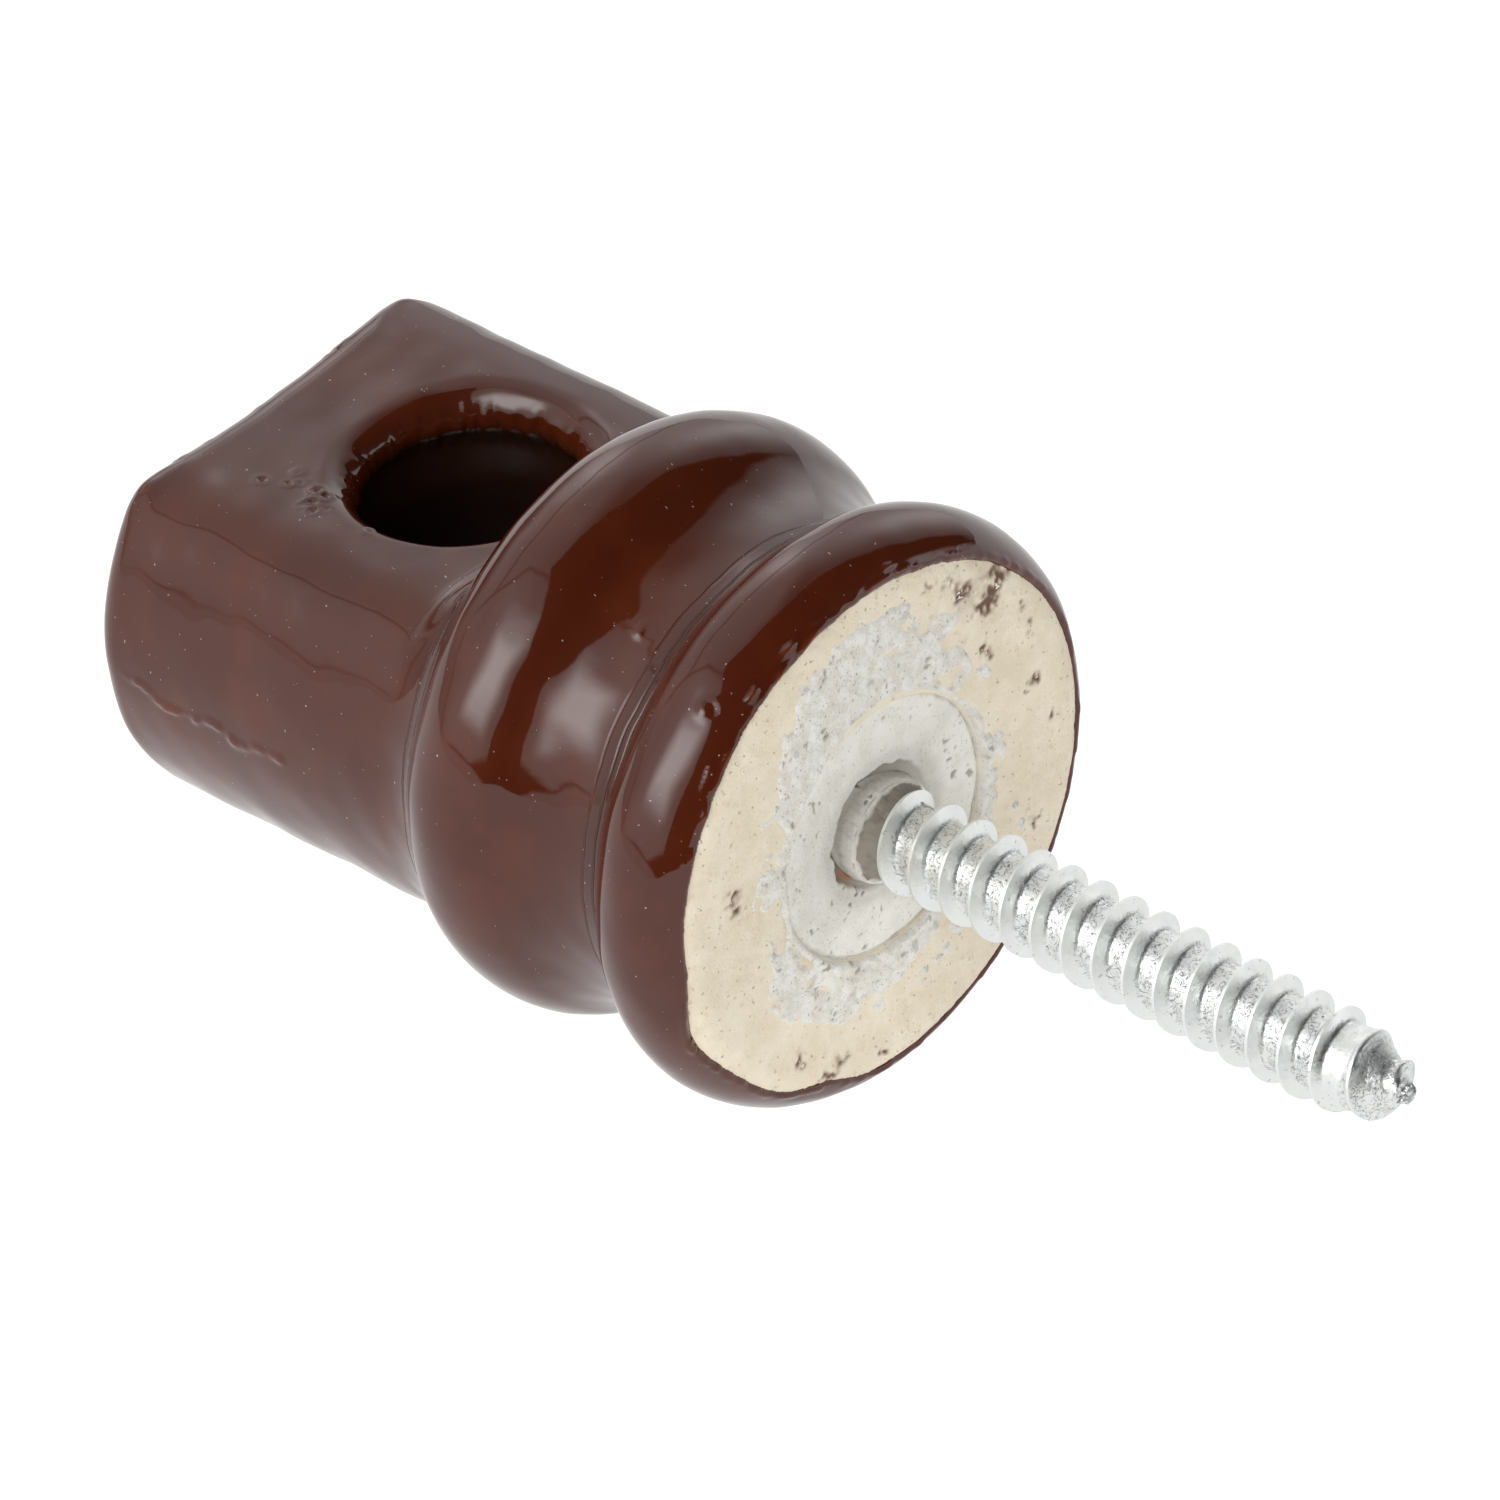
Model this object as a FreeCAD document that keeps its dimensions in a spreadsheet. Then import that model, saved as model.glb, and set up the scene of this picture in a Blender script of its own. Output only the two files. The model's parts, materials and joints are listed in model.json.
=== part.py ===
"""Porcelain wireholder insulator: a brown glazed head and body on a cemented-in lag screw.

Frame: the origin is the centre of the bare base face that bears on the timber. +X runs out
of the base along the screw, so the head lies towards -X. +Z runs along the wire hole, square
to the two flats of the head. Millimetres throughout.
"""

import FreeCAD, Part
import math
import os
import Sketcher

Vector = FreeCAD.Vector
ALONG_X = FreeCAD.Rotation(Vector(0, 1, 0), 90)

# Driving dimensions, each one a cell of the spreadsheet.
DIMENSIONS = {
    # turned body, measured back from the base face at x = 0
    "body_length": 75.0,
    "bead_radius": 28.6,
    "base_bead_back": 5.6,
    "base_bead_round": 6.8,
    "upper_bead_back": 28.0,
    "upper_bead_round": 8.5,
    "waist_radius": 24.1,
    "waist_round": 14.0,
    "neck_back": 39.2,
    "neck_round": 12.0,
    "head_radius": 24.7,
    # flats of the head, hollowed slightly across their width
    "flat_height": 17.0,
    "flat_hollow_radius": 150.0,
    "shoulder_back": 34.7,
    "runout_round": 5.0,
    "edge_round": 3.2,
    # wire hole through both flats
    "hole_radius": 11.0,
    "hole_back": 47.9,
    "mouth_round": 2.4,
    # glaze skin over everything but the base face
    "glaze_thickness": 0.4,
    # keyed pocket in the base and the cement that fills it
    "pocket_radius": 12.8,
    "pocket_depth": 24.0,
    "key_round": 1.6,
    "first_key_back": 8.0,
    "second_key_back": 16.0,
    "cement_recess": 0.5,
    "moat_radius": 6.3,
    "moat_depth": 1.9,
    # lag screw
    "shank_radius": 5.0,
    "shank_proud": 0.6,
    "thread_radius": 4.75,
    "thread_root_radius": 3.4,
    "thread_pitch": 3.629,
    "thread_start": 3.4,
    "thread_root_width": 2.3,
    "thread_gap_width": 3.2,
    "screw_reach": 62.0,
    "point_length": 7.5,
    "point_radius": 0.5,
    "screw_head_back": 21.0,
    "screw_head_height": 6.2,
    "screw_head_flats": 14.3,
}

# Cutters reach past what they cut by CLEAR, the thread's cutter by SLIVER. Edges that lie
# within NEAR of a plane count as on it.
CLEAR = 5.0
SLIVER = 0.3
NEAR = 0.01

doc = FreeCAD.newDocument("Insulator")
sheet = doc.addObject("Spreadsheet::Sheet", "Dimensions")
for row, (alias, value) in enumerate(DIMENSIONS.items(), start=1):
    sheet.set(f"A{row}", alias)
    sheet.set(f"B{row}", str(value))
    sheet.setAlias(f"B{row}", alias)
doc.recompute()


def size(alias):
    """A driving dimension, read back from the sheet."""
    return float(sheet.get(alias))


def cell(alias):
    """The same dimension as an expression."""
    return f"Dimensions.{alias}"


def sketch_on(body, role, name):
    """A sketch on one of a body's own origin planes."""
    sketch = body.newObject("Sketcher::SketchObject", name)
    plane = next(f for f in body.Origin.OriginFeatures if f.Role == role)
    sketch.AttachmentSupport = [(plane, "")]
    sketch.MapMode = "FlatFace"
    return sketch


def relate(sketch, *constraints):
    """Geometric constraints, each one given as its kind and its arguments."""
    for kind, *arguments in constraints:
        sketch.addConstraint(Sketcher.Constraint(kind, *arguments))


def drive(sketch, name, kind, arguments, expression):
    """A dimension of a sketch, named and driven by the sheet."""
    index = sketch.addConstraint(Sketcher.Constraint(kind, *arguments))
    sketch.renameConstraint(index, name)
    sketch.setExpression(f"Constraints.{name}", expression)


def arc(centre, radius, start, end):
    """The arc that runs anticlockwise from start to end about a centre."""
    first = math.atan2(start.y - centre.y, start.x - centre.x)
    last = math.atan2(end.y - centre.y, end.x - centre.x)
    return Part.ArcOfCircle(Part.Circle(centre, Vector(0, 0, 1), radius), first, last)


def line(start, end):
    return Part.LineSegment(start, end)


def crossing(centre_a, radius_a, centre_b, radius_b):
    """The crossing of two circles that lies nearer to the X axis."""
    apart = (centre_b - centre_a).Length
    along = (radius_a**2 - radius_b**2 + apart**2) / (2 * apart)
    across = math.sqrt(radius_a**2 - along**2)
    direction = (centre_b - centre_a) / apart
    middle = centre_a + direction * along
    normal = Vector(-direction.y, direction.x, 0)
    return min(middle + normal * across, middle - normal * across, key=lambda point: point.y)


def turn(body, skin):
    """The turned body: base bead, waist, upper bead, neck and head, set in by the skin."""
    base_round = size("base_bead_round") - skin
    upper_round = size("upper_bead_round") - skin
    waist_round = size("waist_round") + skin
    neck_round = size("neck_round") + skin
    head_radius = size("head_radius") - skin
    length = size("body_length") - skin
    base_centre = Vector(-size("base_bead_back"), size("bead_radius") - size("base_bead_round"), 0)
    upper_centre = Vector(-size("upper_bead_back"), size("bead_radius") - size("upper_bead_round"), 0)
    waist_height = size("waist_radius") + size("waist_round")
    waist_reach = size("upper_bead_round") + size("waist_round")
    waist_ahead = math.sqrt(waist_reach**2 - (waist_height - upper_centre.y) ** 2)
    waist_centre = Vector(upper_centre.x + waist_ahead, waist_height, 0)
    neck_back = size("neck_back")
    neck_centre = Vector(-neck_back, size("head_radius") + size("neck_round"), 0)
    base_rise = math.sqrt(base_round**2 - base_centre.x**2)

    base_rim = Vector(0, base_centre.y + base_rise, 0)
    base_crease = crossing(base_centre, base_round, waist_centre, waist_round)
    waist_end = upper_centre + (waist_centre - upper_centre) * (upper_round / waist_reach)
    neck_crease = crossing(upper_centre, upper_round, neck_centre, neck_round)
    head_start = Vector(-neck_back, head_radius, 0)
    head_end = Vector(-length, head_radius, 0)
    end_centre = Vector(-length, 0, 0)
    origin = Vector(0, 0, 0)

    sketch = sketch_on(body, "XY_Plane", "turned_outline")
    sketch.addGeometry(
        [
            line(origin, base_rim),
            arc(base_centre, base_round, base_rim, base_crease),
            arc(waist_centre, waist_round, waist_end, base_crease),
            arc(upper_centre, upper_round, waist_end, neck_crease),
            arc(neck_centre, neck_round, head_start, neck_crease),
            line(head_start, head_end),
            line(head_end, end_centre),
            line(end_centre, origin),
        ],
        False,
    )
    relate(
        sketch,
        ("Coincident", 0, 1, -1, 1),
        ("Vertical", 0),
        ("Coincident", 0, 2, 1, 1),
        ("Coincident", 1, 2, 2, 2),
        ("Tangent", 2, 1, 3, 1),
        ("Coincident", 3, 2, 4, 2),
        ("Tangent", 4, 1, 5, 1),
        ("Horizontal", 5),
        ("Coincident", 5, 2, 6, 1),
        ("Vertical", 6),
        ("Coincident", 6, 2, 7, 1),
        ("Coincident", 7, 2, 0, 1),
        ("Horizontal", 7),
    )
    inward = f" - {skin}"
    outward = f" + {skin}"
    upper_height = f"{cell('bead_radius')} - {cell('upper_bead_round')}"
    base_height = f"{cell('bead_radius')} - {cell('base_bead_round')}"
    waist_place = f"{cell('waist_radius')} + {cell('waist_round')}"
    driven = (
        ("base_bead_place", "DistanceX", (1, 3, -1, 1, -base_centre.x), cell("base_bead_back")),
        ("base_bead_height", "DistanceY", (-1, 1, 1, 3, base_centre.y), base_height),
        ("base_bead_arc", "Radius", (1, base_round), cell("base_bead_round") + inward),
        ("upper_bead_place", "DistanceX", (3, 3, -1, 1, -upper_centre.x), cell("upper_bead_back")),
        ("upper_bead_height", "DistanceY", (-1, 1, 3, 3, upper_centre.y), upper_height),
        ("upper_bead_arc", "Radius", (3, upper_round), cell("upper_bead_round") + inward),
        ("waist_height", "DistanceY", (-1, 1, 2, 3, waist_centre.y), waist_place),
        ("waist_arc", "Radius", (2, waist_round), cell("waist_round") + outward),
        ("neck_place", "DistanceX", (5, 1, -1, 1, neck_back), cell("neck_back")),
        ("neck_arc", "Radius", (4, neck_round), cell("neck_round") + outward),
        ("head_height", "DistanceY", (-1, 1, 5, 1, head_radius), cell("head_radius") + inward),
        ("length", "DistanceX", (6, 2, -1, 1, length), cell("body_length") + inward),
    )
    for name, kind, arguments, expression in driven:
        drive(sketch, name, kind, arguments, expression)
    turned = body.newObject("PartDesign::Revolution", "turned")
    turned.Profile = sketch
    turned.ReferenceAxis = (sketch, ["H_Axis"])
    turned.Angle = 360
    doc.recompute()
    return turned


def hollow_flats(body, skin):
    """The two hollowed flats, each one run out in a round against the upper bead."""
    height = size("flat_height") - skin
    round_ = size("runout_round") + skin
    wall = -size("shoulder_back") + skin
    start = -size("body_length") - CLEAR
    top = size("bead_radius") + CLEAR
    axis_height = size("flat_height") + size("flat_hollow_radius")
    centre = Vector(wall - round_, height + round_, 0)

    sketch = sketch_on(body, "XZ_Plane", "flat_outline")
    floor_start = Vector(start, height, 0)
    floor_end = Vector(centre.x, height, 0)
    wall_foot = Vector(wall, centre.y, 0)
    wall_top = Vector(wall, top, 0)
    back_top = Vector(start, top, 0)
    axis_start = Vector(start, axis_height, 0)
    sketch.addGeometry(
        [
            line(floor_start, floor_end),
            arc(centre, round_, floor_end, wall_foot),
            line(wall_foot, wall_top),
            line(wall_top, back_top),
            line(back_top, floor_start),
        ],
        False,
    )
    sketch.addGeometry(line(axis_start, axis_start + Vector(-start, 0, 0)), True)
    relate(
        sketch,
        ("Tangent", 0, 2, 1, 1),
        ("Tangent", 1, 2, 2, 1),
        ("Coincident", 2, 2, 3, 1),
        ("Coincident", 3, 2, 4, 1),
        ("Coincident", 4, 2, 0, 1),
        ("Horizontal", 0),
        ("Vertical", 2),
        ("Horizontal", 3),
        ("Vertical", 4),
        ("Horizontal", 5),
        ("PointOnObject", 5, 2, -2),
        ("Vertical", 5, 1, 4, 2),
    )
    inward = f" - {skin}"
    outward = f" + {skin}"
    axis_place = f"{cell('flat_height')} + {cell('flat_hollow_radius')}"
    driven = (
        ("flat_height", "DistanceY", (-1, 1, 0, 1, height), cell("flat_height") + inward),
        ("runout_arc", "Radius", (1, round_), cell("runout_round") + outward),
        ("shoulder_place", "DistanceX", (2, 1, -1, 1, -wall), cell("shoulder_back") + inward),
        ("cutter_length", "DistanceX", (4, 1, -1, 1, -start), f"{cell('body_length')} + {CLEAR}"),
        ("cutter_height", "DistanceY", (-1, 1, 4, 1, top), f"{cell('bead_radius')} + {CLEAR}"),
        ("hollow_axis_height", "DistanceY", (-1, 1, 5, 1, axis_height), axis_place),
    )
    for name, kind, arguments, expression in driven:
        drive(sketch, name, kind, arguments, expression)
    flat = body.newObject("PartDesign::Groove", "upper_flat")
    flat.Profile = sketch
    flat.ReferenceAxis = (sketch, ["Axis0"])
    flat.Angle = 360
    doc.recompute()
    flats = body.newObject("PartDesign::Mirrored", "both_flats")
    flats.Originals = [flat]
    middle = next(f for f in body.Origin.OriginFeatures if f.Role == "XY_Plane")
    flats.MirrorPlane = (middle, [""])
    body.Tip = flats
    doc.recompute()
    return flats


def bore_wire_hole(body, skin):
    """The round hole that the wire or its tie passes through."""
    radius = size("hole_radius") + skin
    place = size("hole_back")
    sketch = sketch_on(body, "XY_Plane", "hole_outline")
    sketch.addGeometry(Part.Circle(Vector(-place, 0, 0), Vector(0, 0, 1), radius), False)
    relate(sketch, ("PointOnObject", 0, 3, -1))
    drive(sketch, "hole_size", "Radius", (0, radius), f"{cell('hole_radius')} + {skin}")
    drive(sketch, "hole_place", "DistanceX", (0, 3, -1, 1, place), cell("hole_back"))
    hole = body.newObject("PartDesign::Pocket", "wire_hole")
    hole.Profile = sketch
    hole.Type = "ThroughAll"
    hole.Midplane = True
    doc.recompute()
    return hole


def round_edges(body, name, feature, wanted, expression):
    """A fillet on the edges of a feature that answer to a test of their bounding box."""
    names = [
        f"Edge{index}"
        for index, edge in enumerate(feature.Shape.Edges, start=1)
        if wanted(edge, edge.BoundBox)
    ]
    fillet = body.newObject("PartDesign::Fillet", name)
    fillet.Base = (feature, names)
    fillet.setExpression("Radius", expression)
    doc.recompute()
    return fillet


def fired_form(name, skin):
    """The whole outside of the porcelain, set in by the thickness of the glaze or by nothing."""
    body = doc.addObject("PartDesign::Body", name)
    turned = turn(body, skin)
    flats = hollow_flats(body, skin)
    hole = bore_wire_hole(body, skin)
    head_end = -size("body_length") + skin
    hole_place = -size("hole_back")
    reach = size("hole_radius") + skin

    def flat_side_or_end(edge, box):
        straight = edge.Curve.TypeId == "Part::GeomLine" and box.XMin < head_end + NEAR
        lengthwise = straight and box.XLength > NEAR
        side_of_flat = lengthwise and abs(box.YMax) > reach + CLEAR and abs(box.ZMax) > NEAR
        return side_of_flat or box.XMax < head_end + NEAR

    def hole_mouth(edge, box):
        within = abs(box.Center.x - hole_place) < reach + size("runout_round")
        crosswise = max(abs(box.YMin), abs(box.YMax)) < reach + NEAR
        on_flat = min(abs(box.ZMin), abs(box.ZMax)) > size("flat_height") - CLEAR
        return within and crosswise and on_flat and edge.Curve.TypeId == "Part::GeomBSplineCurve"

    edge_size = f"{cell('edge_round')} - {skin}"
    mouth_size = f"{cell('mouth_round')} - {skin}"
    edges = round_edges(body, "rounded_head", hole, flat_side_or_end, edge_size)
    mouth = round_edges(body, "rounded_mouth", edges, hole_mouth, mouth_size)
    volumes = [feature.Shape.Volume for feature in (turned, flats, hole, edges, mouth)]
    if volumes != sorted(volumes, reverse=True):
        raise RuntimeError(f"{name}: a cut did not remove anything, volumes {volumes}")
    return body


def keyed_pocket():
    """The blind pocket in the base: a straight wall with two round key grooves."""
    radius = size("pocket_radius")
    depth = size("pocket_depth")
    key = size("key_round")
    first = size("first_key_back")
    second = size("second_key_back")
    body = doc.addObject("PartDesign::Body", "keyed_pocket")
    sketch = sketch_on(body, "XY_Plane", "pocket_outline")
    mouth = Vector(0, radius, 0)
    first_in, first_out = Vector(-first + key, radius, 0), Vector(-first - key, radius, 0)
    second_in, second_out = Vector(-second + key, radius, 0), Vector(-second - key, radius, 0)
    foot = Vector(-depth, radius, 0)
    foot_centre = Vector(-depth, 0, 0)
    origin = Vector(0, 0, 0)
    sketch.addGeometry(
        [
            line(origin, mouth),
            line(mouth, first_in),
            arc(Vector(-first, radius, 0), key, first_in, first_out),
            line(first_out, second_in),
            arc(Vector(-second, radius, 0), key, second_in, second_out),
            line(second_out, foot),
            line(foot, foot_centre),
            line(foot_centre, origin),
        ],
        False,
    )
    joints = [("Coincident", index, 2, index + 1, 1) for index in range(7)]
    relate(
        sketch,
        ("Coincident", 0, 1, -1, 1),
        *joints,
        ("Coincident", 7, 2, 0, 1),
        ("Vertical", 0),
        ("Horizontal", 1),
        ("Horizontal", 3),
        ("Horizontal", 5),
        ("Vertical", 6),
        ("Horizontal", 7),
        ("PointOnObject", 2, 3, 1),
        ("PointOnObject", 4, 3, 3),
    )
    driven = (
        ("radius", "DistanceY", (0, 1, 0, 2, radius), cell("pocket_radius")),
        ("depth", "DistanceX", (6, 2, -1, 1, depth), cell("pocket_depth")),
        ("first_key", "Radius", (2, key), cell("key_round")),
        ("second_key", "Radius", (4, key), cell("key_round")),
        ("first_key_place", "DistanceX", (2, 3, -1, 1, first), cell("first_key_back")),
        ("second_key_place", "DistanceX", (4, 3, -1, 1, second), cell("second_key_back")),
    )
    for name, kind, arguments, expression in driven:
        drive(sketch, name, kind, arguments, expression)
    pocket = body.newObject("PartDesign::Revolution", "pocket_turned")
    pocket.Profile = sketch
    pocket.ReferenceAxis = (sketch, ["H_Axis"])
    pocket.Angle = 360
    doc.recompute()
    return body


def disc(name, radius_cell, depth_cell):
    """A cylinder that reaches back from the base face, for cutting the face of the cement."""
    cylinder = doc.addObject("Part::Cylinder", name)
    cylinder.setExpression("Radius", cell(radius_cell))
    cylinder.setExpression("Height", cell(depth_cell))
    cylinder.Placement = FreeCAD.Placement(Vector(0, 0, 0), ALONG_X)
    cylinder.setExpression("Placement.Base.x", f"-{cell(depth_cell)}")
    return cylinder


def cut(name, base, tool):
    """What is left of base once tool is taken out of it."""
    result = doc.addObject("Part::Cut", name)
    result.Base = base
    result.Tool = tool
    doc.recompute()
    return result


def screw_head():
    """The hexagon head that the cement grips."""
    head = doc.addObject("Part::Prism", "hex_head")
    head.Polygon = 6
    head.setExpression("Circumradius", f"{cell('screw_head_flats')} / 2 / cos(30)")
    head.setExpression("Height", cell("screw_head_height"))
    head.Placement = FreeCAD.Placement(Vector(0, 0, 0), ALONG_X)
    head.setExpression("Placement.Base.x", f"-{cell('screw_head_back')}")
    return head


def screw_blank(body):
    """The plain shank, its shoulder just proud of the base, the thread's outside and the point."""
    shank = size("shank_radius")
    thread = size("thread_radius")
    proud = size("shank_proud")
    reach = size("screw_reach")
    point = size("point_length")
    tip = size("point_radius")
    back = size("screw_head_back") - size("screw_head_height")
    corners = [
        Vector(-back, 0, 0),
        Vector(-back, shank, 0),
        Vector(proud, shank, 0),
        Vector(proud, thread, 0),
        Vector(reach - point, thread, 0),
        Vector(reach, tip, 0),
        Vector(reach, 0, 0),
    ]
    sketch = sketch_on(body, "XY_Plane", "blank_outline")
    outline = [line(here, there) for here, there in zip(corners, corners[1:] + corners[:1])]
    sketch.addGeometry(outline, False)
    joints = [("Coincident", index, 2, index + 1, 1) for index in range(6)]
    relate(
        sketch,
        *joints,
        ("Coincident", 6, 2, 0, 1),
        ("PointOnObject", 0, 1, -1),
        ("Vertical", 0),
        ("Horizontal", 1),
        ("Vertical", 2),
        ("Horizontal", 3),
        ("Vertical", 5),
        ("PointOnObject", 5, 2, -1),
    )
    buried = f"{cell('screw_head_back')} - {cell('screw_head_height')}"
    driven = (
        ("buried", "DistanceX", (0, 1, -1, 1, back), buried),
        ("shank", "DistanceY", (0, 1, 0, 2, shank), cell("shank_radius")),
        ("proud", "DistanceX", (-1, 1, 1, 2, proud), cell("shank_proud")),
        ("thread", "DistanceY", (-1, 1, 3, 1, thread), cell("thread_radius")),
        ("reach", "DistanceX", (-1, 1, 5, 2, reach), cell("screw_reach")),
        ("point", "DistanceX", (3, 2, 4, 2, point), cell("point_length")),
        ("tip", "DistanceY", (5, 2, 5, 1, tip), cell("point_radius")),
    )
    for name, kind, arguments, expression in driven:
        drive(sketch, name, kind, arguments, expression)
    blank = body.newObject("PartDesign::Revolution", "blank_turned")
    blank.Profile = sketch
    blank.ReferenceAxis = (sketch, ["H_Axis"])
    blank.Angle = 360
    doc.recompute()
    return blank


def thread_groove(body):
    """The helical groove with a flat root that leaves the thin thread standing."""
    root = size("thread_root_radius")
    outside = size("thread_radius") + SLIVER
    start = size("thread_start")
    half_root = size("thread_root_width") / 2
    half_gap = size("thread_gap_width") / 2
    corners = [
        Vector(start - half_root, root, 0),
        Vector(start + half_root, root, 0),
        Vector(start + half_gap, outside, 0),
        Vector(start - half_gap, outside, 0),
    ]
    sketch = sketch_on(body, "XY_Plane", "groove_outline")
    outline = [line(here, there) for here, there in zip(corners, corners[1:] + corners[:1])]
    sketch.addGeometry(outline, False)
    relate(
        sketch,
        ("Coincident", 0, 2, 1, 1),
        ("Coincident", 1, 2, 2, 1),
        ("Coincident", 2, 2, 3, 1),
        ("Coincident", 3, 2, 0, 1),
        ("Horizontal", 0),
        ("Horizontal", 2),
        ("Equal", 1, 3),
    )
    first_place = f"{cell('thread_start')} - {cell('thread_root_width')} / 2"
    driven = (
        ("root", "DistanceY", (-1, 1, 0, 1, root), cell("thread_root_radius")),
        ("outside", "DistanceY", (-1, 1, 2, 2, outside), f"{cell('thread_radius')} + {SLIVER}"),
        ("root_width", "DistanceX", (0, 1, 0, 2, 2 * half_root), cell("thread_root_width")),
        ("gap_width", "DistanceX", (2, 2, 2, 1, 2 * half_gap), cell("thread_gap_width")),
        ("start", "DistanceX", (-1, 1, 0, 1, corners[0].x), first_place),
    )
    for name, kind, arguments, expression in driven:
        drive(sketch, name, kind, arguments, expression)
    groove = body.newObject("PartDesign::SubtractiveHelix", "thread_groove")
    groove.Profile = sketch
    groove.ReferenceAxis = (sketch, ["H_Axis"])
    groove.Mode = "pitch-height-angle"
    groove.setExpression("Pitch", cell("thread_pitch"))
    groove.setExpression("Height", f"{cell('screw_reach')} - {cell('thread_start')}")
    groove.LeftHanded = False
    doc.recompute()
    return groove


def lag_screw():
    """Head, shank, thread and point as one solid."""
    body = doc.addObject("PartDesign::Body", "threaded_shank")
    blank = screw_blank(body)
    groove = thread_groove(body)
    if groove.Shape.Volume >= blank.Shape.Volume:
        raise RuntimeError("the thread groove cut nothing")
    screw = doc.addObject("Part::Fuse", "lag_screw")
    screw.Base = body
    screw.Tool = screw_head()
    doc.recompute()
    return screw


def check_document():
    """Stops on any object that failed to recompute."""
    for thing in doc.Objects:
        if {"Invalid", "Error"} & set(thing.State):
            raise RuntimeError(f"{thing.Name} is {thing.State}")


def write(piece, name):
    """One named sub-part, checked and written as its own file."""
    piece.Label = name
    shape = piece.Shape
    if shape.isNull() or not shape.isValid() or len(shape.Solids) != 1:
        raise RuntimeError(f"{name} is not one valid solid")
    shape.exportStep(os.path.join("parts", f"{name}.step"))
    print(name, round(shape.Volume / 1000, 2), "cm3")


glazed_form = fired_form("glazed_form", 0.0)
bare_form = fired_form("bare_form", size("glaze_thickness"))
pocket = keyed_pocket()
porcelain_body = cut("porcelain_body", bare_form, pocket)
glaze_coat = cut("glaze_coat", glazed_form, bare_form)
screw = lag_screw()
recessed = cut("recessed_fill", pocket, disc("face_recess", "pocket_radius", "cement_recess"))
ringed = cut("ringed_fill", recessed, disc("shank_moat", "moat_radius", "moat_depth"))
cement_plug = cut("cement_plug", ringed, screw)
doc.recompute()
check_document()

os.makedirs("parts", exist_ok=True)
write(porcelain_body, "porcelain_body")
write(glaze_coat, "glaze_coat")
write(cement_plug, "cement_plug")
write(screw, "lag_screw")
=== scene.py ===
"""Looks for the porcelain wireholder insulator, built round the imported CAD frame.

The frame's axes: the origin is the centre of the bare base face, +X runs out along the screw,
the head lies towards -X, and +Z runs along the wire hole, square to the flats of the head.
Shapes are worked out in millimetres and turned into metres as each mesh is made.
"""

import itertools
import json
import math

import bpy
import numpy as np
from mathutils import Matrix, Vector


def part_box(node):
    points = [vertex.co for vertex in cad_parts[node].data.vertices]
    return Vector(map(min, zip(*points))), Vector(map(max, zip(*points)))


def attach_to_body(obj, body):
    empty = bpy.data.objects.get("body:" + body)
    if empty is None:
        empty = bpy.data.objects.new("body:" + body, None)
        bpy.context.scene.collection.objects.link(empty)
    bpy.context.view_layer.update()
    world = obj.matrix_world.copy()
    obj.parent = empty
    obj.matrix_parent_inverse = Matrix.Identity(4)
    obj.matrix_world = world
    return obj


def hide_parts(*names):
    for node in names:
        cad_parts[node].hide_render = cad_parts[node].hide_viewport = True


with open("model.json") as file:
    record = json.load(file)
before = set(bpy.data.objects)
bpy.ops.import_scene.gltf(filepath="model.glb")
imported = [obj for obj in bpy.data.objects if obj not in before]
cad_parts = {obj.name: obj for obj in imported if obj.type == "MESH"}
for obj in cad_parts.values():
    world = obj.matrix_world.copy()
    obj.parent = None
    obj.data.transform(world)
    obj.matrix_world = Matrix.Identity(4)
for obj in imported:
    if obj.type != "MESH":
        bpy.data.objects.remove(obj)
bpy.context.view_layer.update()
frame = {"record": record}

MM = 0.001
TURN = 2 * math.pi


def box_mm(node):
    """Lowest and highest corner of a CAD node, in millimetres."""
    low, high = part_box(node)
    return np.array(low) / MM, np.array(high) / MM


def mount(name):
    """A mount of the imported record."""
    return next(m for m in frame["record"]["mounts"] if m["name"] == name)


def clock(angle, centre):
    """Degrees from a centre to an angle in radians, counted the short way round."""
    return (np.degrees(angle) - centre + 180) % 360 - 180


# ------------ Dimensions, from the frame where it gives them ------------
glaze_low, glaze_high = box_mm("glaze_coat")
cement_low, _ = box_mm("cement_plug")
screw_low, _ = box_mm("lag_screw")
wire_mount = mount("wire_hole")

BODY_LENGTH = -glaze_low[0]
BEAD_RADIUS = glaze_high[2]
GLAZE = 0.4

# Turned body, measured back from the base face.
BASE_BEAD_BACK, BASE_BEAD_ROUND = 5.6, 6.8
UPPER_BEAD_BACK, UPPER_BEAD_ROUND = 28.0, 8.5
WAIST_RADIUS, WAIST_ROUND = 24.1, 14.0
NECK_BACK, NECK_ROUND = 39.2, 12.0
HEAD_RADIUS = 24.7
END_ROUND = 3.0

# Flats of the head, which lean a little to one side of the body's axis.
FLAT_HEIGHT, HOLLOW_RADIUS = 17.0, 120.0
SHOULDER_BACK, RUNOUT_ROUND = 34.7, 5.0
FLAT_EDGE_ROUND = 4.0
LEAN_START, LEAN_SLOPE = 39.0, 0.0157
LEAN_WAY = np.array([0.0, -0.767, -0.6415])

# Wire hole. Its mouth on the +Z flat is a little tighter than the bore and drawn to one side.
HOLE_RADIUS = wire_mount["dims"]["r_mm"]
HOLE_BACK = -wire_mount["pos_m"][0] / MM
LIP_RADIUS = 10.35
LIP_SHIFT = np.array([-2.3, 1.3])
LIP_START = 12.5
NEAR_ROUND, FAR_ROUND = 1.5, 3.2
FAR_SIDE_ANGLE = 137.0

# Pocket and cement. The cement is sunk a little, with a moat round the screw.
POCKET_RADIUS = 12.8
MOAT_RADIUS = 6.3

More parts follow.
